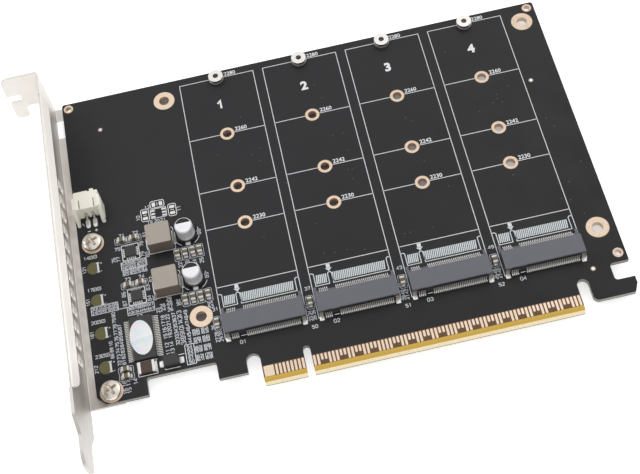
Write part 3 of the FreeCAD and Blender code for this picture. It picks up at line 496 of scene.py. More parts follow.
def plastic(name, colour, rough, grain=0.12, depth=0.004, patch=0.15, specular=0.5, side=None):
    """Moulded plastic; `side` is a darker colour painted on its upright faces as shade."""
    f = Finish(name, colour, rough, specular=specular)
    f.mottle(4.0, patch, toned(colour, 0.8))
    f.mottle(0.2, patch, toned(colour, 1.25))
    f.vary_roughness(1.5, rough - 0.06, rough + 0.08)
    f.bump(f.noise(grain, 4.0), depth)
    if side is not None:
        # painted shade on the faces that stand up
        f.tint(f.upright(), side)
    return f.done()


def standoff_nickel():
    """Bright nickel, with the neck, the head's rim and the bore in the shade."""
    f = Finish("nickel_standoff", (0.86, 0.835, 0.80), 0.38, metallic=0.85)
    f.mottle(1.6, 0.3, (0.80, 0.77, 0.73))
    z = f.axis("Z")
    f.tint(f.between(z, TOP + 0.31, TOP + 1.40), (0.010, 0.009, 0.008))
    f.vary_roughness(0.9, 0.34, 0.46)
    f.bump(f.noise(0.15, 3.0), 0.001)
    return f.done()


def white_print(name, colour):
    """White ink, a little uneven."""
    f = Finish(name, colour, 0.62)
    f.mottle(0.35, 0.35, toned(colour, 0.8))
    f.bump(f.noise(0.1, 3.0), 0.003)
    return f.done()


def drawn_can(cans):
    """Satin aluminium, the top painted paler in streaks as light falling on it, with a black polarity
    segment inside the rim.
    """
    f = Finish("drawn_can", (0.76, 0.76, 0.775), 0.46, metallic=0.3)
    x, y, z = f.axis("X"), f.axis("Y"), f.axis("Z")
    f.mottle(0.5, 0.25, (0.62, 0.62, 0.63))
    f.vary_roughness(0.4, 0.40, 0.54)
    f.bump(f.noise(0.12, 3.0), 0.003)
    top = f.math("GREATER_THAN", z, cans[0][1][2] - 0.03)
    # painted light: the top face paler, in streaks
    f.tint(f.math("MULTIPLY", top, f.spread(f.noise(0.5, 3.0, (0.15, 1, 1)), 0.35, 0.65, 0.4, 1.0)),
           (0.88, 0.88, 0.90))
    for low, high in cans:
        cx, cy, r = (low[0] + high[0]) / 2, (low[1] + high[1]) / 2, (high[0] - low[0]) / 2
        dx, dy = f.math("SUBTRACT", x, cx), f.math("SUBTRACT", y, cy)
        away = f.math("SQRT", f.math("ADD", f.math("MULTIPLY", dx, dx), f.math("MULTIPLY", dy, dy)))
        cap = f.every([f.math("LESS_THAN", away, r - 0.34), f.math("GREATER_THAN", dy, 0.28 * r), top])
        f.tint(cap, (0.014, 0.014, 0.015))
    return f.done()


def laminate_window():
    """Olive laminate that shows where the mask is open."""
    f = Finish("bare_laminate", (0.115, 0.108, 0.036), 0.35)
    f.mottle(0.5, 0.5, (0.15, 0.14, 0.05))
    f.bump(f.noise(0.25, 3.0), 0.006)
    return f.done()


def blank_label():
    """White foil-backed label with a pastel rainbow sheen."""
    f = Finish("blank_label", (0.83, 0.84, 0.86), 0.35)
    mapping = f.node("ShaderNodeMapping")
    f.fill(mapping, {"Scale": (1 / (2.6 * MM), 1 / (1.5 * MM), 1.0),
                     "Rotation": (0.0, 0.0, math.radians(35))})
    f.link(f.place, mapping.inputs["Vector"])
    facets = f.node("ShaderNodeTexVoronoi", voronoi_dimensions="2D")
    facets.inputs["Scale"].default_value = 1.0
    f.link(mapping.outputs[0], facets.inputs["Vector"])
    split = f.node("ShaderNodeSeparateColor")
    f.link(facets.outputs["Color"], split.inputs[0])
    for channel, start, colour in (("Red", 0.30, (0.85, 0.64, 0.78)), ("Green", 0.60, (0.52, 0.79, 0.87)),
                                   ("Blue", 0.50, (0.76, 0.85, 0.72))):
        f.tint(f.spread(split.outputs[channel], start, start + 0.35, 0.0, 0.7), colour)
    f.mottle(2.2, 0.6, (0.84, 0.85, 0.87))
    f.bsdf.inputs["Coat Weight"].default_value = 0.3
    f.bump(f.noise(0.5, 2.0), 0.004)
    return f.done()


MASK = solder_mask()
PAD_GOLD = gold("pad_gold", (0.82, 0.65, 0.50), 0.45)
HARD_GOLD = finger_gold()
COPPER = gold("barrel_copper", (0.74, 0.53, 0.40), 0.5)
VIA = plastic("mask_over_copper", (0.050, 0.050, 0.048), 0.40)
RIM = plastic("pad_rim", (0.20, 0.12, 0.07), 0.5)
# painted shade on the bracket below y 12
SHEET = nickel("nickel_sheet", (0.765, 0.73, 0.692), 0.44, (1, 0.15, 1), 2.0, 0.85, shade_below=12.0)
STANDOFF = standoff_nickel()
SCREW = nickel("nickel_screw", (0.80, 0.75, 0.68), 0.26, size=0.6)
TIN = nickel("tin_plate", (0.66, 0.64, 0.60), 0.40, size=0.5, metallic=0.7)
SOLDER = nickel("solder", (0.74, 0.735, 0.72), 0.36, size=0.4, metallic=0.8)
BRIGHT = nickel("bright_solder", (0.88, 0.88, 0.87), 0.40, size=0.4, metallic=0.6)
# painted shade: lead metal made dark for the socket contacts and anchors in the sockets' shade and for the
# threads inside the standoffs' bores
SHADED_LEAD = nickel("shaded_lead", (0.36, 0.32, 0.27), 0.42, size=0.4, metallic=0.6)
RISER = nickel("formed_lead", (0.62, 0.60, 0.56), 0.42, size=0.4, metallic=0.6)
# painted shade: the socket's upright faces darker than its top
SOCKET = plastic("socket_nylon", (0.125, 0.125, 0.148), 0.50, specular=0.4, side=(0.035, 0.035, 0.042))
SOCKET_DARK = plastic("socket_shadow", (0.010, 0.010, 0.012), 0.7)
CREAM = plastic("cream_nylon", (0.97, 0.94, 0.82), 0.42, 0.2, 0.003, 0.08)
# painted shade: the last colour darkens the mould's upright sides against its top
FERRITE = plastic("ferrite_mould", (0.375, 0.332, 0.288), 0.66, 0.15, 0.01, 0.25, 0.3, (0.185, 0.148, 0.118))
CAN = drawn_can([node_box("capacitor_can_1"), node_box("capacitor_can_2")])
MOULD = plastic("black_epoxy", (0.024, 0.024, 0.025), 0.5, 0.15, 0.006, 0.3)
BASE = plastic("capacitor_base", (0.012, 0.012, 0.013), 0.45, 0.2, 0.004)
CERAMIC = plastic("tan_ceramic", (0.145, 0.115, 0.060), 0.5, 0.2, 0.004, 0.3)
CHIP_END = nickel("capacitor_end", (0.64, 0.63, 0.60), 0.45, size=0.4, metallic=0.5)
FUSE = plastic("fuse_mould", (0.055, 0.028, 0.020), 0.4, 0.2, 0.004)
PRINT = white_print("white_ink", (0.80, 0.81, 0.82))
THIN_PRINT = white_print("thin_white_ink", (0.60, 0.62, 0.67))
LINE_PRINT = white_print("line_white_ink", (0.68, 0.69, 0.70))
BAR_PRINT = white_print("bar_white_ink", (0.66, 0.71, 0.73))
WINDOW = laminate_window()
LABEL = blank_label()

NODE_FINISH = {
    "circuit_board": MASK, "edge_contacts": HARD_GOLD, "drive_socket": SOCKET, "socket_contacts": SHADED_LEAD,
    "socket_anchors": SHADED_LEAD, "drive_standoff": STANDOFF, "bracket": SHEET, "bracket_screws": SCREW,
    "fan_header_housing": CREAM, "fan_header_pins": TIN, "fan_header_feet": SOLDER,
    "inductor_body": FERRITE, "inductor_terminals": BRIGHT, "capacitor_base": BASE, "capacitor_can": CAN,
    "capacitor_leads": BRIGHT, "converter_chip": MOULD, "clock_buffer_body": MOULD,
    "clock_buffer_leads": TIN, "oval_sticker": LABEL, "fuse_body": FUSE, "fuse_caps": SOLDER,
    "diode_body": MOULD, "diode_leads": SOLDER, "ceramic_capacitor_bodies": CERAMIC,
    "ceramic_capacitor_ends": CHIP_END,
}


def dress_nodes():
    """Gives each CAD node the finish whose name its own name starts with, the longest one first."""
    stems = sorted(NODE_FINISH, key=len, reverse=True)
    for name, obj in nodes.items():
        stem = next(s for s in stems if name.startswith(s))
        obj.data.materials.clear()
        obj.data.materials.append(NODE_FINISH[stem])


dress_nodes()


# ------------------------------------------------------------------ plated holes and pads
def plated_hole(rings, barrels, rims, x, y, hole_r, ring_r):
    """A ring on each face, its thin rim of bare laminate, and the plating inside the hole."""
    inner = hole_r - BARREL_T
    for face, up in ((TOP, 1), (UNDERSIDE, -1)):
        rings.turned(x, y, [(inner, face), (ring_r, face), (ring_r - PAD_T, face + up * PAD_T),
                            (inner + PAD_T, face + up * PAD_T)], HOLE_SEGMENTS)
        rims.turned(x, y, [(ring_r, face), (ring_r + RIM_W, face), (ring_r + RIM_W, face + up * RIM_T),
                           (ring_r, face + up * RIM_T)], HOLE_SEGMENTS)
    barrels.turned(x, y, [(inner, UNDERSIDE), (hole_r, UNDERSIDE), (hole_r, TOP), (inner, TOP)],
                   HOLE_SEGMENTS)


def disc(shape, x, y, r, base, height, segments=40):
    """A flat dot with a small chamfer."""
    shape.turned(x, y, [(0.001, base), (r, base), (r, base + height * 0.6),
                        (r - height * 0.4, base + height), (0.001, base + height)], segments)


def hole_plating():
    """Rings, barrels and rims of the drive holes, the corner holes and the tooling holes."""
    rings = Shape("hole_rings")
    barrels = Shape("drive_hole_barrels")
    wide_barrels = Shape("corner_hole_barrels")
    rims = Shape("hole_rims")
    for lane in LANES:
        for length in ("2260", "2242", "2230"):
            plated_hole(rings, barrels, rims, lane, ROWS[length], DRIVE_HOLE_R, DRIVE_RING_R)
    for sx in (-1, 1):
        for sy in (-1, 1):
            plated_hole(rings, wide_barrels, rims, CORNER_MID[0] + sx * CORNER_HALF_X,
                        CORNER_MID[1] + sy * CORNER_HALF_Y, CORNER_HOLE_R, CORNER_RING_R)
    left, right = BOARD_LOW[0] + TOOLING_INSETS[0], BOARD_HIGH[0] - TOOLING_INSETS[1]
    high = BOARD_HIGH[1] - TOOLING_INSETS[2]
    for x, y in ((left, high), (right, high), (right, TOOLING_LOW_Y)):
        plated_hole(rings, wide_barrels, rims, x, y, TOOLING_HOLE_R, TOOLING_RING_R)
    rings.place(PAD_GOLD, "gold", smooth=30)
    barrels.place(COPPER, "gold", smooth=30)
    wide_barrels.place(PAD_GOLD, "gold", smooth=30)
    rims.place(RIM, "solder_mask")


def edge_contacts():
    """The edge contacts with their corners rounded, each a little inside its rectangle."""
    inset, corner = 0.04, 0.22
    for name in ("edge_contacts_front", "edge_contacts_back"):
        bars = Shape(name.replace("contacts", "fingers"))
        for low, high in solids(name):
            bars.plate(round_box(low[0] + inset, low[1], high[0] - inset, high[1], corner), low[2], high[2])
        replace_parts(bars.place(HARD_GOLD, "gold"), name)


def screw_pads():
    """Grounding rings under the bracket's screw heads, and those round the standoffs' spigots."""
    pads = Shape("screw_and_standoff_pads")
    inner, outer = SCREW_PAD_R
    for x, y, _ in SCREWS:
        pads.turned(x, y, [(inner, TOP), (outer, TOP), (outer - 0.03, TOP + PAD_T),
                           (inner + 0.03, TOP + PAD_T)], 48)
    inner, outer = STANDOFF_PAD_R
    for lane in LANES:
        pads.turned(lane, ROWS["2280"], [(inner, UNDERSIDE), (inner, UNDERSIDE - PAD_T),
                                         (outer, UNDERSIDE - PAD_T), (outer + 0.03, UNDERSIDE)], 48)
    pads.place(PAD_GOLD, "gold", smooth=30)


def fiducials():
    """Tinned dots, each in a small clearance of the mask."""
    dots = Shape("fiducial_dots")
    rims = Shape("fiducial_clearances")
    r, clear = FIDUCIAL_R
    for x, y in FIDUCIALS:
        disc(dots, x, y, r, TOP, PAD_T)
        rims.turned(x, y, [(r, TOP), (clear, TOP), (clear, TOP + RIM_T), (r, TOP + RIM_T)], 32)
    dots.place(SOLDER, "tin", smooth=30)
    rims.place(RIM, "solder_mask")


def vias():
    """Small holes under the mask, each at a distance from its lane's axis and from the tongue's tip."""
    dots = Shape("tented_vias")
    for lane, places in zip(LANES, (
            ((4.8, 83), (8.4, 71), (5.8, 69.5), (7.6, 67), (-3.8, 72), (4.2, 42.5), (13.4, 58)),
            ((2.7, 88.5), (3.8, 83.5), (7.2, 70), (4.2, 70), (7.3, 64), (6, 57.7), (7.2, 57.5), (6.6, 54.5),
             (-6.2, 43), (0.5, 33), (5, 32), (-5.8, 33.5), (-2.9, 33)),
            ((0.5, 70.5), (1.9, 69), (2.2, 55), (6.6, 45.5), (-8.5, 34), (-6.9, 34), (-0.6, 34), (13.9, 36),
             (14.2, 76)),
            ((-7.9, 90), (6.4, 73.5), (2.4, 71.5), (2.2, 70), (0.7, 69), (3.3, 68.5), (-3.8, 67), (13.5, 60),
             (15, 57), (-0.4, 44.5), (10, 34), (12.2, 33), (14.5, 28), (18.5, 44), (13.5, 38.5)))):
        for x, y in places:
            disc(dots, lane + x, y, 0.2, TOP, 0.012, 16)
    dots.place(VIA, "solder_mask", smooth=30)


hole_plating()
edge_contacts()
screw_pads()
fiducials()
vias()


# ------------------------------------------------------------------ white print
PRINT_LOW = TOP - 0.002
PRINT_HIGH = TOP + PRINT_T

# strokes of each numeral on a grid 4 wide and 6 tall
NUMERALS = {
    "0": [[(0, 1.2), (0, 4.8), (1.2, 6), (2.8, 6), (4, 4.8), (4, 1.2), (2.8, 0), (1.2, 0), (0, 1.2)]],
    "1": [[(0.9, 4.6), (2.3, 6), (2.3, 0)]],
    "2": [[(0, 4.9), (1.1, 6), (2.9, 6), (4, 4.9), (4, 3.9), (0, 0), (4, 0)]],
    "3": [[(0, 5.2), (0.9, 6), (2.9, 6), (3.9, 5.1), (3.9, 4), (2.9, 3.2), (1.6, 3.2)],
          [(2.9, 3.2), (4, 2.2), (4, 1), (2.9, 0), (1, 0), (0, 0.9)]],
    "4": [[(3.1, 0), (3.1, 6), (0, 1.8), (4.2, 1.8)]],
    "5": [[(3.8, 6), (0.4, 6), (0.2, 3.3), (2.8, 3.6), (4, 2.5), (4, 1.1), (2.8, 0), (1, 0), (0, 0.8)]],
    "6": [[(3.6, 5.6), (2.6, 6), (1.3, 6), (0, 4.6), (0, 1.2), (1.2, 0), (2.8, 0), (4, 1.2), (4, 2.3),
           (2.8, 3.4), (1.2, 3.4), (0.1, 2.4)]],
    "7": [[(0, 6), (4, 6), (1.5, 0)]],
    "8": [[(1.2, 3.2), (0.2, 4.1), (0.2, 5.1), (1.2, 6), (2.8, 6), (3.8, 5.1), (3.8, 4.1), (2.8, 3.2),
           (1.2, 3.2), (0, 2.1), (0, 1), (1.2, 0), (2.8, 0), (4, 1), (4, 2.1), (2.8, 3.2)]],
    "9": [[(0.4, 0.4), (1.4, 0), (2.7, 0), (4, 1.4), (4, 4.8), (2.8, 6), (1.2, 6), (0, 4.8), (0, 3.7),
           (1.2, 2.6), (2.8, 2.6), (3.9, 3.6)]],
}


def numerals(shape, text, x, y, height, weight=0.20, turn=0.0):
    """Plain numbers in plotter strokes, centred on x, y."""
    unit = height / 6
    advance = 5.6 * unit
    c, s = math.cos(math.radians(turn)), math.sin(math.radians(turn))
    start = -(advance * len(text) - 1.6 * unit) / 2
    for n, mark in enumerate(text):
        for path in NUMERALS[mark]:
            points = []
            for u, v in path:
                px = start + n * advance + u * unit
                py = v * unit - height / 2
                points.append((x + px * c - py * s, y + px * s + py * c))
            shape.stroke(points, weight, PRINT_LOW, PRINT_HIGH)


def typeset(shape, text, x, y, height, weight):
    """Plain numbers in a sans face, centred on x, y."""
    curve = bpy.data.curves.new("type", "FONT")
    curve.body = text
    curve.align_x = "CENTER"
    curve.align_y = "CENTER"
    curve.size = height * 1.39
    curve.offset = weight
    curve.extrude = (PRINT_HIGH - PRINT_LOW) / 2
    curve.resolution_u = 3
    obj = new_object("type", curve)
    bpy.context.view_layer.update()
    mesh = bpy.data.meshes.new_from_object(obj.evaluated_get(bpy.context.evaluated_depsgraph_get()))
    shape.add_mesh(mesh, Matrix.Translation((x, y, (PRINT_HIGH + PRINT_LOW) / 2)))
    bpy.data.objects.remove(obj)
    bpy.data.curves.remove(curve)
    bpy.data.meshes.remove(mesh)


def line(shape, points, width):
    """A printed line through some points."""
    shape.stroke(points, width, PRINT_LOW, PRINT_HIGH)


def frame_box(shape, x0, y0, x1, y1, r, width):
    """A printed rectangle with round corners."""
    shape.stroke(round_box(x0, y0, x1, y1, r), width, PRINT_LOW, PRINT_HIGH, closed=True)


LANE_HALF = 11.05               # lane axis to the line on each side
STANDOFF_R = 2.2
LINE_W = 0.22
LANE_TOP = 98.5
LANE_LOW = 15.0                 # near end of the lines, beside each socket's rear face
SOCKET_ROW = 30.35              # line above each socket's pictogram
KEY_X = -5.65                   # lane axis to the middle of the key


def lane_print():
    """Outlines of the four drive places, with their numbers and the drives' lengths."""
    lines = Shape("lane_lines")
    numbers = Shape("lane_numbers")
    for index, lane in enumerate(LANES, 1):
        left, right = lane - LANE_HALF, lane + LANE_HALF
        line(lines, [(left, LANE_LOW), (left, LANE_TOP), (lane - STANDOFF_R, LANE_TOP)], LINE_W)
        line(lines, [(lane + STANDOFF_R, LANE_TOP), (right, LANE_TOP), (right, LANE_LOW)], LINE_W)
        line(lines, [(left, SOCKET_ROW), (right, SOCKET_ROW)], LINE_W)
        for length, y in ROWS.items():
            if length != "2280":
                line(lines, [(left, y), (lane - DRIVE_RING_R - RIM_W, y)], LINE_W)
                line(lines, [(lane + DRIVE_RING_R + RIM_W, y), (right, y)], LINE_W)
            typeset(numbers, length, lane + 4.15, y + 0.95, 1.25, 0.03)
        if index == 1:
            line(numbers, [(lane - 1.0, 89.4), (lane - 0.15, 90.25), (lane - 0.15, 87.6)], 0.58)
        else:
            typeset(numbers, str(index), lane - 0.3, 88.95, 2.85, 0.17)
    lines.place(LINE_PRINT, "solder_mask")
    numbers.place(PRINT, "solder_mask")


def key_pictograms():
    """The drive's edge drawn above each socket: its contacts, its key and an arrow to the key."""
    art = Shape("key_pictograms")
    low, high = 24.35, 28.25
    side, shoulder = 9.95, 10.3
    key_left, key_right, key_end = 6.2, 5.1, 27.2
    pitch, lean = 0.5, 0.13
    for lane in LANES:
        outline = [(lane - LANE_HALF, high), (lane - shoulder, high), (lane - side, high - 0.3),
                   (lane - side, low), (lane - key_left, low), (lane - key_left, key_end)]
        outline += arc(lane + KEY_X, 27.3, 0.5, 160, 20, 6)
        outline += [(lane - key_right, key_end), (lane - key_right, low), (lane + side, low),
                    (lane + side, high - 0.3), (lane + shoulder, high), (lane + LANE_HALF, high)]
        line(art, outline, 0.24)
        for first, bars in ((-9.35, 6), (-4.95, 29)):
            for n in range(bars):
                x = lane + first + pitch * n
                line(art, [(x - lean, low + 0.5), (x + lean, 27.5)], 0.33)
        line(art, [(lane + KEY_X, 30.3), (lane + KEY_X, 28.85)], 1.05)
        art.plate([(lane + KEY_X, 28.0), (lane + KEY_X + 0.9, 28.95), (lane + KEY_X - 0.9, 28.95)],
                  PRINT_LOW, PRINT_HIGH)
    art.place(BAR_PRINT, "solder_mask")


lane_print()
key_pictograms()


class Counter:
    """Hands out plain running numbers for the small part labels."""

    def __init__(self, start):
        self.value = start

    def next(self):
        self.value = self.value % 89 + 10 if self.value > 88 else self.value + 1
        return str(self.value)


count = Counter(11)


def label_grid(shape, x0, y0, x1, y1, columns, rows, height, turn=0.0):
    """Rows and columns of small part numbers filling a field."""
    for row in range(rows):
        for column in range(columns):
            x = x0 + (x1 - x0) * (column + 0.5) / columns
            y = y0 + (y1 - y0) * (row + 0.5) / rows
            numerals(shape, count.next(), x, y, height, 0.19, turn)


INDICATOR_YS = (44.6, 34.6, 24.7, 14.7)
WINDOW_X = -51.95
WINDOW_R = 1.85
WINDOW_T = 0.006
# fields of part numbers: corners, columns, rows, height of a number, and its turn where it is turned
LABEL_FIELDS = (
    (-53.8, 30.6, -46.9, 32.75, 6, 2, 0.8), (-44.2, 29.4, -37.3, 30.5, 6, 1, 0.7),
    (-44.2, 28.2, -37.3, 29.3, 6, 1, 0.7), (-44.2, 42.1, -37.6, 44.2, 6, 2, 0.75),
    (-44.2, 40.1, -37.6, 41.9, 6, 2, 0.7), (-48.8, 14.2, -47.8, 30.2, 1, 9, 0.85, 90),
    (-47.6, 14.2, -46.6, 26.2, 1, 7, 0.85, 90), (-50.4, 16.6, -49.5, 22.0, 1, 3, 0.8, 90),
    (-35.9, 14.1, -34.9, 18.1, 1, 2, 0.9, 90), (-34.7, 14.1, -33.6, 18.1, 1, 2, 0.9, 90),
    (-35.9, 18.8, -34.9, 26.1, 1, 4, 0.9, 90), (-34.7, 18.8, -33.6, 26.1, 1, 4, 0.9, 90),
    (-36.7, 27.0, -35.9, 28.4, 1, 1, 0.8, 90), (-35.7, 27.1, -34.2, 29.4, 1, 2, 0.85),
    (-33.7, 26.6, -32.4, 31.0, 1, 4, 0.85), (-31.6, 27.8, -29.6, 29.6, 1, 2, 0.75),
    (-32.9, 16.4, -32.0, 26.1, 1, 6, 0.85, 90), (-31.6, 16.4, -30.3, 26.1, 1, 6, 1.15, 90),
    (-29.7, 16.2, -28.8, 26.1, 1, 6, 0.85, 90), (-30.7, 10.5, -28.7, 15.8, 1, 5, 0.8),
)
FIELD_FRAMES = ((-54.0, 30.45, -46.7, 32.9, 0.16), (-44.4, 28.05, -37.1, 30.6, 0.16),
                (-44.4, 42.0, -37.4, 44.3, 0.16), (-30.9, 10.3, -28.5, 16.0, 0.18))


def indicator_print(art, boxes):
    """Numbers, polarity signs and resistor places at the four indicator windows beside the bracket."""
    for y in INDICATOR_YS:
        numerals(art, count.next() + count.next()[0], -54.55, y, 0.85, 0.18, 90)
        for points, width in (([(-50.7, y - 1.35), (-50.7, y + 1.35)], 0.5),
                              ([(-51.15, y - 1.4), (-50.25, y - 1.4)], 0.35),
                              ([(-51.15, y + 1.4), (-50.25, y + 1.4)], 0.35),
                              ([(-50.0, y + 1.15), (-49.5, y + 1.15)], 0.14),
                              ([(-49.75, y + 0.9), (-49.75, y + 1.4)], 0.14),
                              ([(-50.0, y - 1.3), (-49.7, y - 1.3)], 0.14)):
            line(boxes, points, width)
        numerals(art, count.next(), -53.65, y + 3.5, 0.9, 0.19)
        for x in (-52.35, -51.15):
            frame_box(boxes, x - 0.45, y + 3.05, x + 0.45, y + 3.95, 0.1, 0.14)
            line(boxes, [(x - 0.2, y + 3.3), (x + 0.2, y + 3.7)], 0.14)


def socket_labels(art):
    """Part numbers between the drive sockets, and each socket's own number."""
    for lane in LANES:
        numerals(art, count.next(), lane - 13.6, 19.2, 0.85, 0.18, 90)
        label_grid(art, lane - 13.6, 14.6, lane - 12.6, 17.9, 1, 2, 0.8, 90)
        label_grid(art, lane - 12.5, 14.6, lane - 11.6, 17.9, 1, 2, 0.8, 90)
        numerals(art, count.next(), lane - 12.3, 24.3, 0.9, 0.19)
    for index, lane in enumerate(LANES, 1):
        numerals(art, "0%d" % index, lane - 6.6, 13.3, 0.95, 0.19)
    for lane in LANES[1:]:
        label_grid(art, lane - 13.1, 12.3, lane - 11.9, 13.7, 1, 1, 0.9)
    for y in (25.4, 26.6):
        numerals(art, count.next(), LANES[0] - 13.3, y, 0.85, 0.18)


def part_print():
    """Small part numbers, pad frames and marks around the card's electronics."""
    art = Shape("part_labels")
    boxes = Shape("part_frames")
    indicator_print(art, boxes)
    for x0, y0, x1, y1, width in FIELD_FRAMES:
        frame_box(boxes, x0, y0, x1, y1, 0.1, width)
    line(boxes, [(-46.7, 30.6), (-44.4, 30.6)], 0.18)
    for field in LABEL_FIELDS:
        label_grid(art, *field)
    # a block of eight resistor places beside the mounting hole
    for x in (-27.35, -25.0):
        for y in (19.0, 16.6, 14.1, 11.6):
            label_grid(art, x - 0.9, y - 0.9, x + 0.9, y + 0.9, 1, 2, 0.78)
            for side in (-0.85, 0.85):
                line(boxes, [(x + side, y - 0.9), (x + side, y + 0.9)], 0.14)
    # labels around the power parts
    for x, y, turn in ((-43.2, 52.75, 0), (-39.4, 52.75, 0), (-43.2, 38.9, 0), (-39.4, 38.9, 0),
                       (-44.85, 48.8, 0), (-46.2, 45.6, 90), (-44.9, 45.6, 90), (-38.1, 48.9, 90),
                       (-38.2, 45.6, 90), (-36.9, 45.2, 90), (-36.9, 51.6, 90), (-36.9, 37.4, 90),
                       (-38.1, 35.1, 90), (-38.1, 31.9, 90), (-36.7, 31.7, 90), (-44.8, 34.6, 90),
                       (-44.8, 31.9, 90), (-22.0, 48.6, 90), (-22.0, 34.9, 90), (-37.9, 57.1, 90),
                       (-26.3, 57.4, 90), (-35.0, 60.0, 0), (-41.4, 27.2, 0), (-44.8, 9.0, 90),
                       (-46.7, 6.9, 90), (-47.7, 6.9, 90), (-46.7, 9.0, 90), (-47.7, 9.0, 90)):
        numerals(art, count.next(), x, y, 0.95, 0.19, turn)
    for x in (-34.9, -32.9, -31.2):
        numerals(art, count.next(), x, 55.05, 0.85, 0.18)
    for x in (-28.5, -26.5, -24.5, -22.6):
        numerals(art, count.next(), x, 39.7, 0.95, 0.19, 90)
    socket_labels(art)
    # number and polarity marks of the fan header
    numerals(art, "1", -53.2, 58.8, 0.9, 0.2, 30)
    line(boxes, [(-52.2, 56.4), (-51.45, 56.4)], 0.26)
    line(boxes, [(-50.25, 56.4), (-49.4, 56.4)], 0.28)
    line(boxes, [(-49.83, 55.98), (-49.83, 56.82)], 0.28)
    art.place(THIN_PRINT, "solder_mask")
    boxes.place(PRINT, "solder_mask")


part_print()


def part_frames():
    """Printed outlines that follow the parts they surround."""
    art = Shape("part_outlines")
    for name in ("inductor_body_1", "inductor_body_2"):
        low, high = node_box(name)
        frame_box(art, low[0] - 0.35, low[1] - 0.15, high[0] + 0.35, high[1] + 0.4, 0.4, 0.18)
    for name in ("capacitor_base_1", "capacitor_base_2"):
        x, y, _ = middle(node_box(name))
        for start, end in ((205, 240), (300, 340), (0, 25)):
            line(art, arc(x, y, 3.55, start, end, 8), 0.18)
    for name in ("converter_chip_1", "converter_chip_2"):
        x, y, _ = middle(node_box(name))
        frame_box(art, x - 2.35, y - 2.4, x + 2.35, y + 2.4, 0.15, 0.25)
    low, high = node_box("fuse_body")
    frame_box(art, low[0] - 0.95, low[1] - 0.45, high[0] + 1.15, high[1] + 0.45, 0.15, 0.18)
    low, high = node_box("diode_body")
    line(art, [(low[0] + 0.1, low[1] - 0.1), (low[0] + 0.3, low[1] - 0.45),
               (high[0] - 0.1, low[1] - 0.45)], 0.2)
    line(art, [(high[0] - 0.2, high[1] + 0.3), (high[0] + 1.4, high[1] + 0.3)], 0.2)
    low, high = node_box("clock_buffer_body")
    line(art, [(low[0] + 0.2, high[1] + 0.3), (high[0] - 0.2, high[1] + 0.3)], 0.16)
    line(art, [(low[0] + 0.2, low[1] - 0.3), (high[0] - 0.2, low[1] - 0.3)], 0.16)
    art.place(PRINT, "solder_mask")


part_frames()


# ------------------------------------------------------------------ solder and bare pads
def chip_capacitor_solder():
    """A fillet at both ends of every ceramic capacitor, and the printed frame around the pads."""
    solder = Shape("ceramic_capacitor_solder")
    frames = Shape("ceramic_capacitor_frames")
    for low, high in solids("ceramic_capacitor_bodies"):
        x, y, _ = middle((low, high))
        along_x = high[0] - low[0] < high[1] - low[1]
        reach, across, pad = 1.26, 0.68, 0.36
        for side in (-1, 1):
            dx, dy = (side * reach, 0) if along_x else (0, side * reach)
            half = (pad, across) if along_x else (across, pad)
            solder.mound(x + dx, y + dy, half[0], half[1], TOP, 0.42)
        hx, hy = (1.98, 0.98) if along_x else (0.98, 1.98)
        frame_box(frames, x - hx, y - hy, x + hx, y + hy, 0.45, 0.13)
    solder.place(CHIP_END, "tin", smooth=60)
    frames.place(THIN_PRINT, "solder_mask")


def bare_pads():
    """Pads of places where no part is fitted: solder-coated copper inside printed frames."""
    pads = Shape("bare_pads")
    frames = Shape("bare_pad_frames")
    for x, y in ((-35.9, 57.55), (-28.2, 57.5)):
        for side in (-1, 1):
            pads.mound(x, y + side * 0.98, 0.72, 0.5, TOP, 0.12, power=5)
        frame_box(frames, x - 1.1, y - 1.95, x + 1.1, y + 1.95, 0.55, 0.2)
        line(frames, [(x - 0.5, y), (x + 0.5, y)], 0.18)
    x, y = -32.15, 60.4
    for side in (-1, 1):
        pads.mound(x + side * 1.0, y, 0.5, 0.72, TOP, 0.12, power=5)
    frame_box(frames, x - 1.95, y - 1.1, x + 1.95, y + 1.1, 0.55, 0.2)
    line(frames, [(x, y - 0.5), (x, y + 0.5)], 0.18)
    for px in (-33.6, -30.6):
        for py in (58.4, 57.4, 56.45):
            pads.mound(px, py, 0.55, 0.3, TOP, 0.1, power=5)
    frame_box(frames, -34.3, 55.95, -29.9, 58.95, 0.2, 0.18)
    pads.place(SOLDER, "tin", smooth=60)
    frames.place(PRINT, "solder_mask")


def part_solder():
    """Solder at the terminals of the larger parts."""
    solder = Shape("part_solder")
    for name in ("inductor_terminals_1", "inductor_terminals_2"):
        body = middle(node_box(name.replace("terminals", "body")))
        for low, high in solids(name):
            x, y, _ = middle((low, high))
            side = math.copysign(1, x - body[0])
            solder.mound(body[0] + side * 3.75, y, 0.45, 1.95, TOP, 0.35, power=5)
    for name, grow_x, grow_y, height in (("capacitor_leads_1", 0.1, 0.1, 0.16),
                                         ("capacitor_leads_2", 0.1, 0.1, 0.16),
                                         ("diode_leads", 0.25, 0.2, 0.3), ("fuse_caps", 0.3, 0.0, 0.3)):
        for low, high in solids(name):
            x, y, _ = middle((low, high))
            solder.mound(x, y, (high[0] - low[0]) / 2 + grow_x, (high[1] - low[1]) / 2 + grow_y,
                         TOP, height, power=5)
    x, y = node_box("fuse_body")[1][0] + 0.75, middle(node_box("fuse_body"))[1]
    solder.mound(x, y, 0.35, 1.5, TOP, 0.14, power=5)
    for low, high in solids("fan_header_feet"):
        x, y, _ = middle((low, high))
        solder.mound(x, y - 0.1, 0.55, 0.6, TOP, 0.3, power=2.4)
    for low, high in solids("fan_header_pins"):
        solder.mound((low[0] + high[0]) / 2, low[1] + 0.5, 0.68, 1.45, TOP, 0.3, power=3.2)
    solder.place(BRIGHT, "tin", smooth=60)


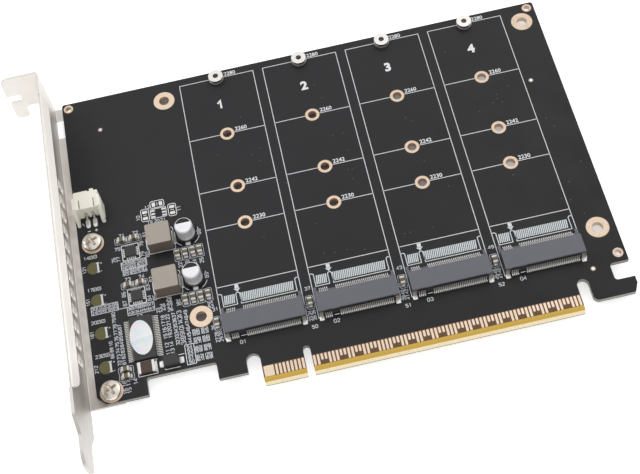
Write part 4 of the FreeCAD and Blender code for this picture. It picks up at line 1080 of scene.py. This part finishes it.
def converter_pads():
    """Leads that show around the two leadless converter chips."""
    pads = Shape("converter_pads")
    pitch, reach, long, short = 0.55, 0.28, 0.38, 0.19
    for name in ("converter_chip_1", "converter_chip_2"):
        low, high = node_box(name)
        x, y, _ = middle((low, high))
        half = (high[0] - low[0]) / 2
        for n in range(5):
            step = (n - 2) * pitch
            for side in (-1, 1):
                out = side * (half + reach)
                pads.mound(x + out, y + step, long, short, TOP, 0.12, steps=3, power=5)
                pads.mound(x + step, y + out, short, long, TOP, 0.12, steps=3, power=5)
    pads.place(BRIGHT, "tin", smooth=60)


def clock_buffer_pads():
    """Tinned pads that reach past the toes of the clock buffer's fine leads."""
    pads = Shape("clock_buffer_pads")
    body = middle(node_box("clock_buffer_body"))
    for low, high in solids("clock_buffer_leads"):
        x, y, _ = middle((low, high))
        toe = low[0] if x < body[0] else high[0]
        side = math.copysign(1, x - body[0])
        pads.block((min(toe - side * 0.7, toe + side * 0.55), low[1] - 0.015, TOP),
                   (max(toe - side * 0.7, toe + side * 0.55), high[1] + 0.015, TOP + 0.05))
    pads.place(TIN, "tin")


def windows():
    """Openings in the mask, each a disc cut straight beside its print, for light from the other face."""
    discs = Shape("indicator_windows")
    for y in INDICATOR_YS:
        discs.plate(arc(WINDOW_X, y, WINDOW_R, 50, 310, 36), TOP, TOP + WINDOW_T)
    discs.place(WINDOW, "solder_mask")


chip_capacitor_solder()
bare_pads()
part_solder()
converter_pads()
clock_buffer_pads()
windows()


# ------------------------------------------------------------------ drive sockets
RISER_T = 0.12                  # thickness of a rear contact
RISER_TOP = 1.75                # over the board, at the rear face
JAW_TOP = 1.25                  # lower jaw over the board
JAW_STRIP = 1.3                 # length of each contact that shows on the lower jaw
SLOT_LOW = 1.8                  # dark plates of painted shade where the slots over the rear contacts are
SLOT_HIGH = 3.05
KEY_GLINT_X = 6.1              # socket's middle to the bright dash beside its key, a painted highlight of the housing's lower edge


def socket_details():
    """Formed contacts at both faces of each socket, dark plates of painted shade for the slots above them,
    each tail's solder, and a bright dash beside the key, a painted highlight.
    """
    for index in (1, 2, 3, 4):
        low, high = node_box("drive_socket_%d" % index)
        risers = Shape("rear_contacts_%d" % index)
        heads = Shape("front_contacts_%d" % index)
        slot_shades = Shape("socket_slot_shades_%d" % index)
        joints_and_glint = Shape("socket_solder_and_glint_%d" % index)
        rear = low[1]
        for a, b in solids("socket_contacts_%d" % index):
            x0, x1 = a[0], b[0]
            middle_x = (x0 + x1) / 2
            if b[1] < rear + 0.1:
                back = b[1] - RISER_T
                risers.bar([(b[1] - 0.02, TOP + 0.05), (back - 0.16, TOP + 0.05), (back - 0.16, TOP + 0.24),
                            (back, TOP + 0.5), (back, TOP + RISER_TOP), (b[1] - 0.02, TOP + RISER_TOP)],
                           x0, x1)
                # painted shade: a dark plate on the rear face stands for each slot's inside
                slot_shades.block((x0 - 0.07, rear - 0.015, TOP + SLOT_LOW),
                            (x1 + 0.07, rear + 0.02, TOP + SLOT_HIGH))
                joints_and_glint.mound(middle_x, a[1] + 0.55, 0.20, 0.48, TOP, 0.42, steps=3)
            else:
                heads.bar([(a[1] - 0.3, TOP + 1.15), (a[1] - 0.02, TOP + 1.15), (a[1] - 0.02, TOP + 0.5),
                           (a[1] + 0.18, TOP + 0.26), (a[1] + 0.18, TOP + 0.05), (a[1] - 0.3, TOP + 0.05)],
                          x0, x1)
                heads.block((x0, a[1] - JAW_STRIP, TOP + JAW_TOP - 0.05),
                            (x1, a[1] - 0.3, TOP + JAW_TOP + 0.02))
                joints_and_glint.mound(middle_x, b[1] - 0.40, 0.16, 0.30, TOP, 0.27, steps=3)
        for a, b in solids("socket_anchors_%d" % index):
            joints_and_glint.mound((a[0] + b[0]) / 2, a[1] + 0.35, 0.7, 0.7, TOP, 0.3, power=5)
        # painted highlight: a bright dash in the key gap stands for the light on the housing's lower edge
        joints_and_glint.mound((low[0] + high[0]) / 2 - KEY_GLINT_X, rear - 0.35, 0.75, 0.12, TOP, 0.12,
                     steps=3, power=5)
        risers.place(RISER, "tin")
        heads.place(RISER, "tin")
        slot_shades.place(SOCKET_DARK, "socket_plastic")
        joints_and_glint.place(BRIGHT, "tin", smooth=60)


socket_details()


# ------------------------------------------------------------------ fan header
def fan_header():
    """The shroud with its stepped nose, side ears running down to the feet, and an arch over each pin."""
    low, high = node_box("fan_header_housing")
    axis = (low[0] + high[0]) / 2
    back = node_box("fan_header_feet")[0][1] + 2.6
    front, nose, top = high[1] - 0.7, high[1], high[2]
    half, wall, slit = 3.42, 0.75, 2.05
    shell = Shape("fan_header_shell")
    shell.block((axis - half, back, TOP), (axis + half, front, top))
    shell.block((axis - half + 0.15, front - 0.5, TOP), (axis + 0.6, front + 0.35, top - 0.05))
    shell.block((axis + 1.25, front - 0.5, TOP), (axis + 2.35, nose, top - 0.05))
    for side in (-1, 1):
        for inner, outer, start, rise, slope in ((3.0, 3.86, 64.5, 5.35, 58.4),
                                                 (3.5, 4.06, 63.8, 4.6, 59.3)):
            ear = [(start, TOP), (start, TOP + rise), (back, TOP + rise), (slope, TOP + 0.8),
                   (slope, TOP + 0.3), (slope + 0.9, TOP + 0.3), (slope + 0.9, TOP)]
            shell.bar(ear, axis + side * inner, axis + side * outer)
    cuts = Shape("fan_header_cuts")
    cuts.block((axis - half + 0.7, back + 1.1, TOP + wall), (axis + half - 0.7, nose + 1, top - wall))
    for side in (-1, 1):
        cuts.block((axis + side * slit - 0.17, back + 0.1, top - wall - 0.2),
                   (axis + side * slit + 0.17, back + 3.0, top + 1))
        arch = [(axis + side + u * 0.62, TOP + 1.7 + v * 0.9) for u, v in arc(0, 0, 1, 0, 180, 12)]
        arch += [(axis + side - 0.62, TOP - 1), (axis + side + 0.62, TOP - 1)]
        cuts.skin([[(x, y, z) for x, z in arch] for y in (back - 1, back + 0.45)])
        cuts.block((axis + side - 0.26, back - 1, TOP - 1), (axis + side + 0.26, nose + 1, TOP + 2.9))
    shell.carve(cuts)
    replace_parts(shell.place(CREAM, "header_plastic", smooth=35), "fan_header_housing")


fan_header()


# ------------------------------------------------------------------ bracket screws
HEAD_DOME = 0.55
SHANK_R = 1.45
RECESS_R = 1.8                  # screw axis to the ends of the cross
RECESS_HALF = 0.52              # half width of its arms at the axis
RECESS_DEEP = 1.25
RECESS_TURN = 30                # degrees


def recess(u, v):
    """Depth of the tapered cross recess at a place on the screw's own axes."""
    reach = math.hypot(u, v)
    floor = RECESS_DEEP * max(0.0, 1 - (reach / RECESS_R) ** 3)
    wall = (RECESS_HALF - 0.1 * reach - min(abs(u), abs(v))) * 4
    return max(0.0, min(floor, wall))


def bracket_screws():
    """Domed heads with a cross recess."""
    piece = Shape("pan_head_screws")
    segments, rings = 144, 34
    for low, high in solids("bracket_screws"):
        x, y, _ = middle((low, high))
        head = (high[0] - low[0]) / 2
        crown = high[2] - HEAD_DOME
        loops = []
        for k in range(rings + 1):
            r = head * max(0.01, k / rings)
            loop = []
            for n in range(segments):
                a = 2 * math.pi * n / segments
                z = crown + HEAD_DOME * math.sqrt(max(0.0, 1 - (r / head) ** 2))
                turned = a - math.radians(RECESS_TURN)
                depth = recess(r * math.cos(turned), r * math.sin(turned))
                loop.append((x + r * math.cos(a), y + r * math.sin(a), z - depth))
            loops.append(loop)
        for r, z in ((head, TOP + 0.15), (head - 0.15, TOP), (SHANK_R, TOP), (SHANK_R, low[2] + 0.2),
                     (SHANK_R - 0.2, low[2])):
            angles = [2 * math.pi * n / segments for n in range(segments)]
            loops.append([(x + r * math.cos(a), y + r * math.sin(a), z) for a in angles])
        piece.skin(loops)
    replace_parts(piece.place(SCREW, "nickel_screw", smooth=40), "bracket_screws")


bracket_screws()


# ------------------------------------------------------------------ threads
# root radius, crest radius and pitch
STANDOFF_THREAD = (0.81, 0.70, 0.4)
SCREW_THREAD = (1.44, 1.5, 0.5)


def thread(shape, x, y, form, low, high, segments=28):
    """A helical ridge between two heights, from the root radius to the crest."""
    root, crest, pitch = form
    turns = (high - low) / pitch
    total = int(turns * segments)
    loops = []
    for k in range(total + 1):
        a = 2 * math.pi * k / segments
        z = low + pitch * k / segments
        taper = min(1.0, k / 8, (total - k) / 8)
        tip = root + (crest - root) * max(taper, 0.02)
        half = pitch * 0.42 * max(taper, 0.1)
        back = root - (crest - root) * 0.15
        c, s = math.cos(a), math.sin(a)
        loops.append([(x + back * c, y + back * s, z - half), (x + tip * c, y + tip * s, z),
                      (x + back * c, y + back * s, z + half)])
    shape.skin(loops)


def threads():
    """Threads in the standoffs' bores and on the bracket screws' shanks."""
    ridges = Shape("standoff_threads")
    for index in (1, 2, 3, 4):
        low, high = node_box("drive_standoff_%d" % index)
        x, y, _ = middle((low, high))
        thread(ridges, x, y, STANDOFF_THREAD, low[2] + 0.3, high[2] - 0.2)
    # the bore's threads take the dark lead, as painted shade
    ridges.place(SHADED_LEAD, "tin", smooth=40)
    screws = Shape("bracket_screw_threads")
    low, _ = node_box("bracket_screws")
    for x, y, _ in SCREWS:
        thread(screws, x, y, SCREW_THREAD, low[2] + 0.25, TOP - 0.3)
    screws.place(SCREW, "nickel_screw", smooth=40)


threads()


# ------------------------------------------------------------------ floor, light and camera
BACKDROP = 0.60                 # glow of the floor beside the card, for camera and mirror rays alone
UNDER_CARD = (("X", BOARD_LOW[0] - 2.0, BOARD_HIGH[0] + 1.0), ("Y", 13.0, BOARD_HIGH[1] + 2.6))
BESIDE_FADE = (-4.5, -0.5)      # distance past the edges of UNDER_CARD over which the glow comes up
FREE_END_FADE = (25.0, 80.0)    # x over which it comes up under the card
FREE_END_GLOW = 0.8             # its share of the glow at the free end
FLOOR_GAP = 0.0002              # metres under the lowest point
SKY_LEVEL = 0.40
SKY_LOWEST = 0.15
SKY_SLOPE = (0.04, 0.20, 0.50)  # how the sky's strength grows towards +X, +Y and overhead


def stage():
    """A plain pale floor that glows beside the card, and more and more towards its free end."""
    low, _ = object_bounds()
    floor_mesh = bpy.data.meshes.new("floor")
    bm = bmesh.new()
    bmesh.ops.create_grid(bm, x_segments=1, y_segments=1, size=2.0)
    bm.to_mesh(floor_mesh)
    bm.free()
    floor = new_object("floor", floor_mesh)
    floor.location.z = low[2] - FLOOR_GAP
    floor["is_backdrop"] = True
    f = Finish("pale_floor", (0.86, 0.86, 0.86), 0.9, specular=0.0)
    outside = []
    for letter, low_edge, high_edge in UNDER_CARD:
        from_middle = f.math("ABSOLUTE", f.math("SUBTRACT", f.axis(letter), (low_edge + high_edge) / 2))
        outside.append(f.math("SUBTRACT", from_middle, (high_edge - low_edge) / 2))
    beside = f.spread(f.math("MAXIMUM", *outside), *BESIDE_FADE)
    beside = f.math("MAXIMUM", beside, f.spread(f.axis("X"), *FREE_END_FADE, 0.0, FREE_END_GLOW))
    path = f.node("ShaderNodeLightPath")
    seen = f.math("MAXIMUM", path.outputs["Is Camera Ray"], path.outputs["Is Glossy Ray"])
    f.bsdf.inputs["Emission Color"].default_value = (1, 1, 1, 1)
    f.link(f.math("MULTIPLY", f.every([seen, beside]), BACKDROP), f.bsdf.inputs["Emission Strength"])
    floor.data.materials.append(f.done())


def lamp(name, place, target, size, power):
    """A soft square lamp that faces a target, in metres and watts."""
    light = bpy.data.lights.new(name, "AREA")
    light.size = size
    light.energy = power
    obj = new_object(name, light)
    obj.location = place
    obj.rotation_euler = (Vector(target) - Vector(place)).to_track_quat("-Z", "Y").to_euler()


def lights():
    """A pale sky, brightest overhead and behind the card, with three weak soft lamps."""
    world = bpy.data.worlds.new("studio")
    world.use_nodes = True
    bpy.context.scene.world = world
    sky = Nodes(world.node_tree)
    shade = sky.tree.nodes["Background"]
    shade.inputs["Color"].default_value = (1, 1, 1, 1)
    slope = sky.node("ShaderNodeVectorMath", operation="DOT_PRODUCT")
    slope.inputs[1].default_value = SKY_SLOPE
    sky.link(sky.node("ShaderNodeTexCoord").outputs["Generated"], slope.inputs[0])
    level = sky.math("MAXIMUM", sky.math("ADD", slope.outputs["Value"], SKY_LEVEL), SKY_LOWEST)
    mix = sky.node("ShaderNodeMix")
    sky.link(sky.node("ShaderNodeLightPath").outputs["Is Camera Ray"], mix.inputs["Factor"])
    sky.link(level, mix.inputs["A"])
    mix.inputs["B"].default_value = 1.0
    sky.link(mix.outputs["Result"], shade.inputs["Strength"])
    centre = (0.016, 0.05, 0.0)
    lamp("left_back", (-0.52, 0.30, 0.60), centre, 0.5, 1.5)
    lamp("right_back", (0.42, 0.40, 0.66), centre, 0.5, 0.8)
    lamp("front", (0.10, -0.60, 0.42), centre, 0.6, 1.0)


def camera():
    """The photograph's viewing angle: well above the card and in front of its edge contacts."""
    data = bpy.data.cameras.new("view")
    data.sensor_width = 36.0
    data.lens = 67.47
    data.clip_start = 0.01
    obj = new_object("view", data)
    place = Vector((3.840, -119.012, 284.956)) * MM
    forward = Vector((0.01908833, 0.48514064, -0.87422777))
    right = Vector((0.97551722, -0.20064418, -0.09004479))
    up = right.cross(forward)
    turn = Matrix((right, up, -forward)).transposed()
    obj.matrix_world = Matrix.Translation(place) @ turn.to_4x4()
    bpy.context.scene.camera = obj


stage()
lights()
camera()
bpy.context.scene.view_settings.view_transform = "Standard"
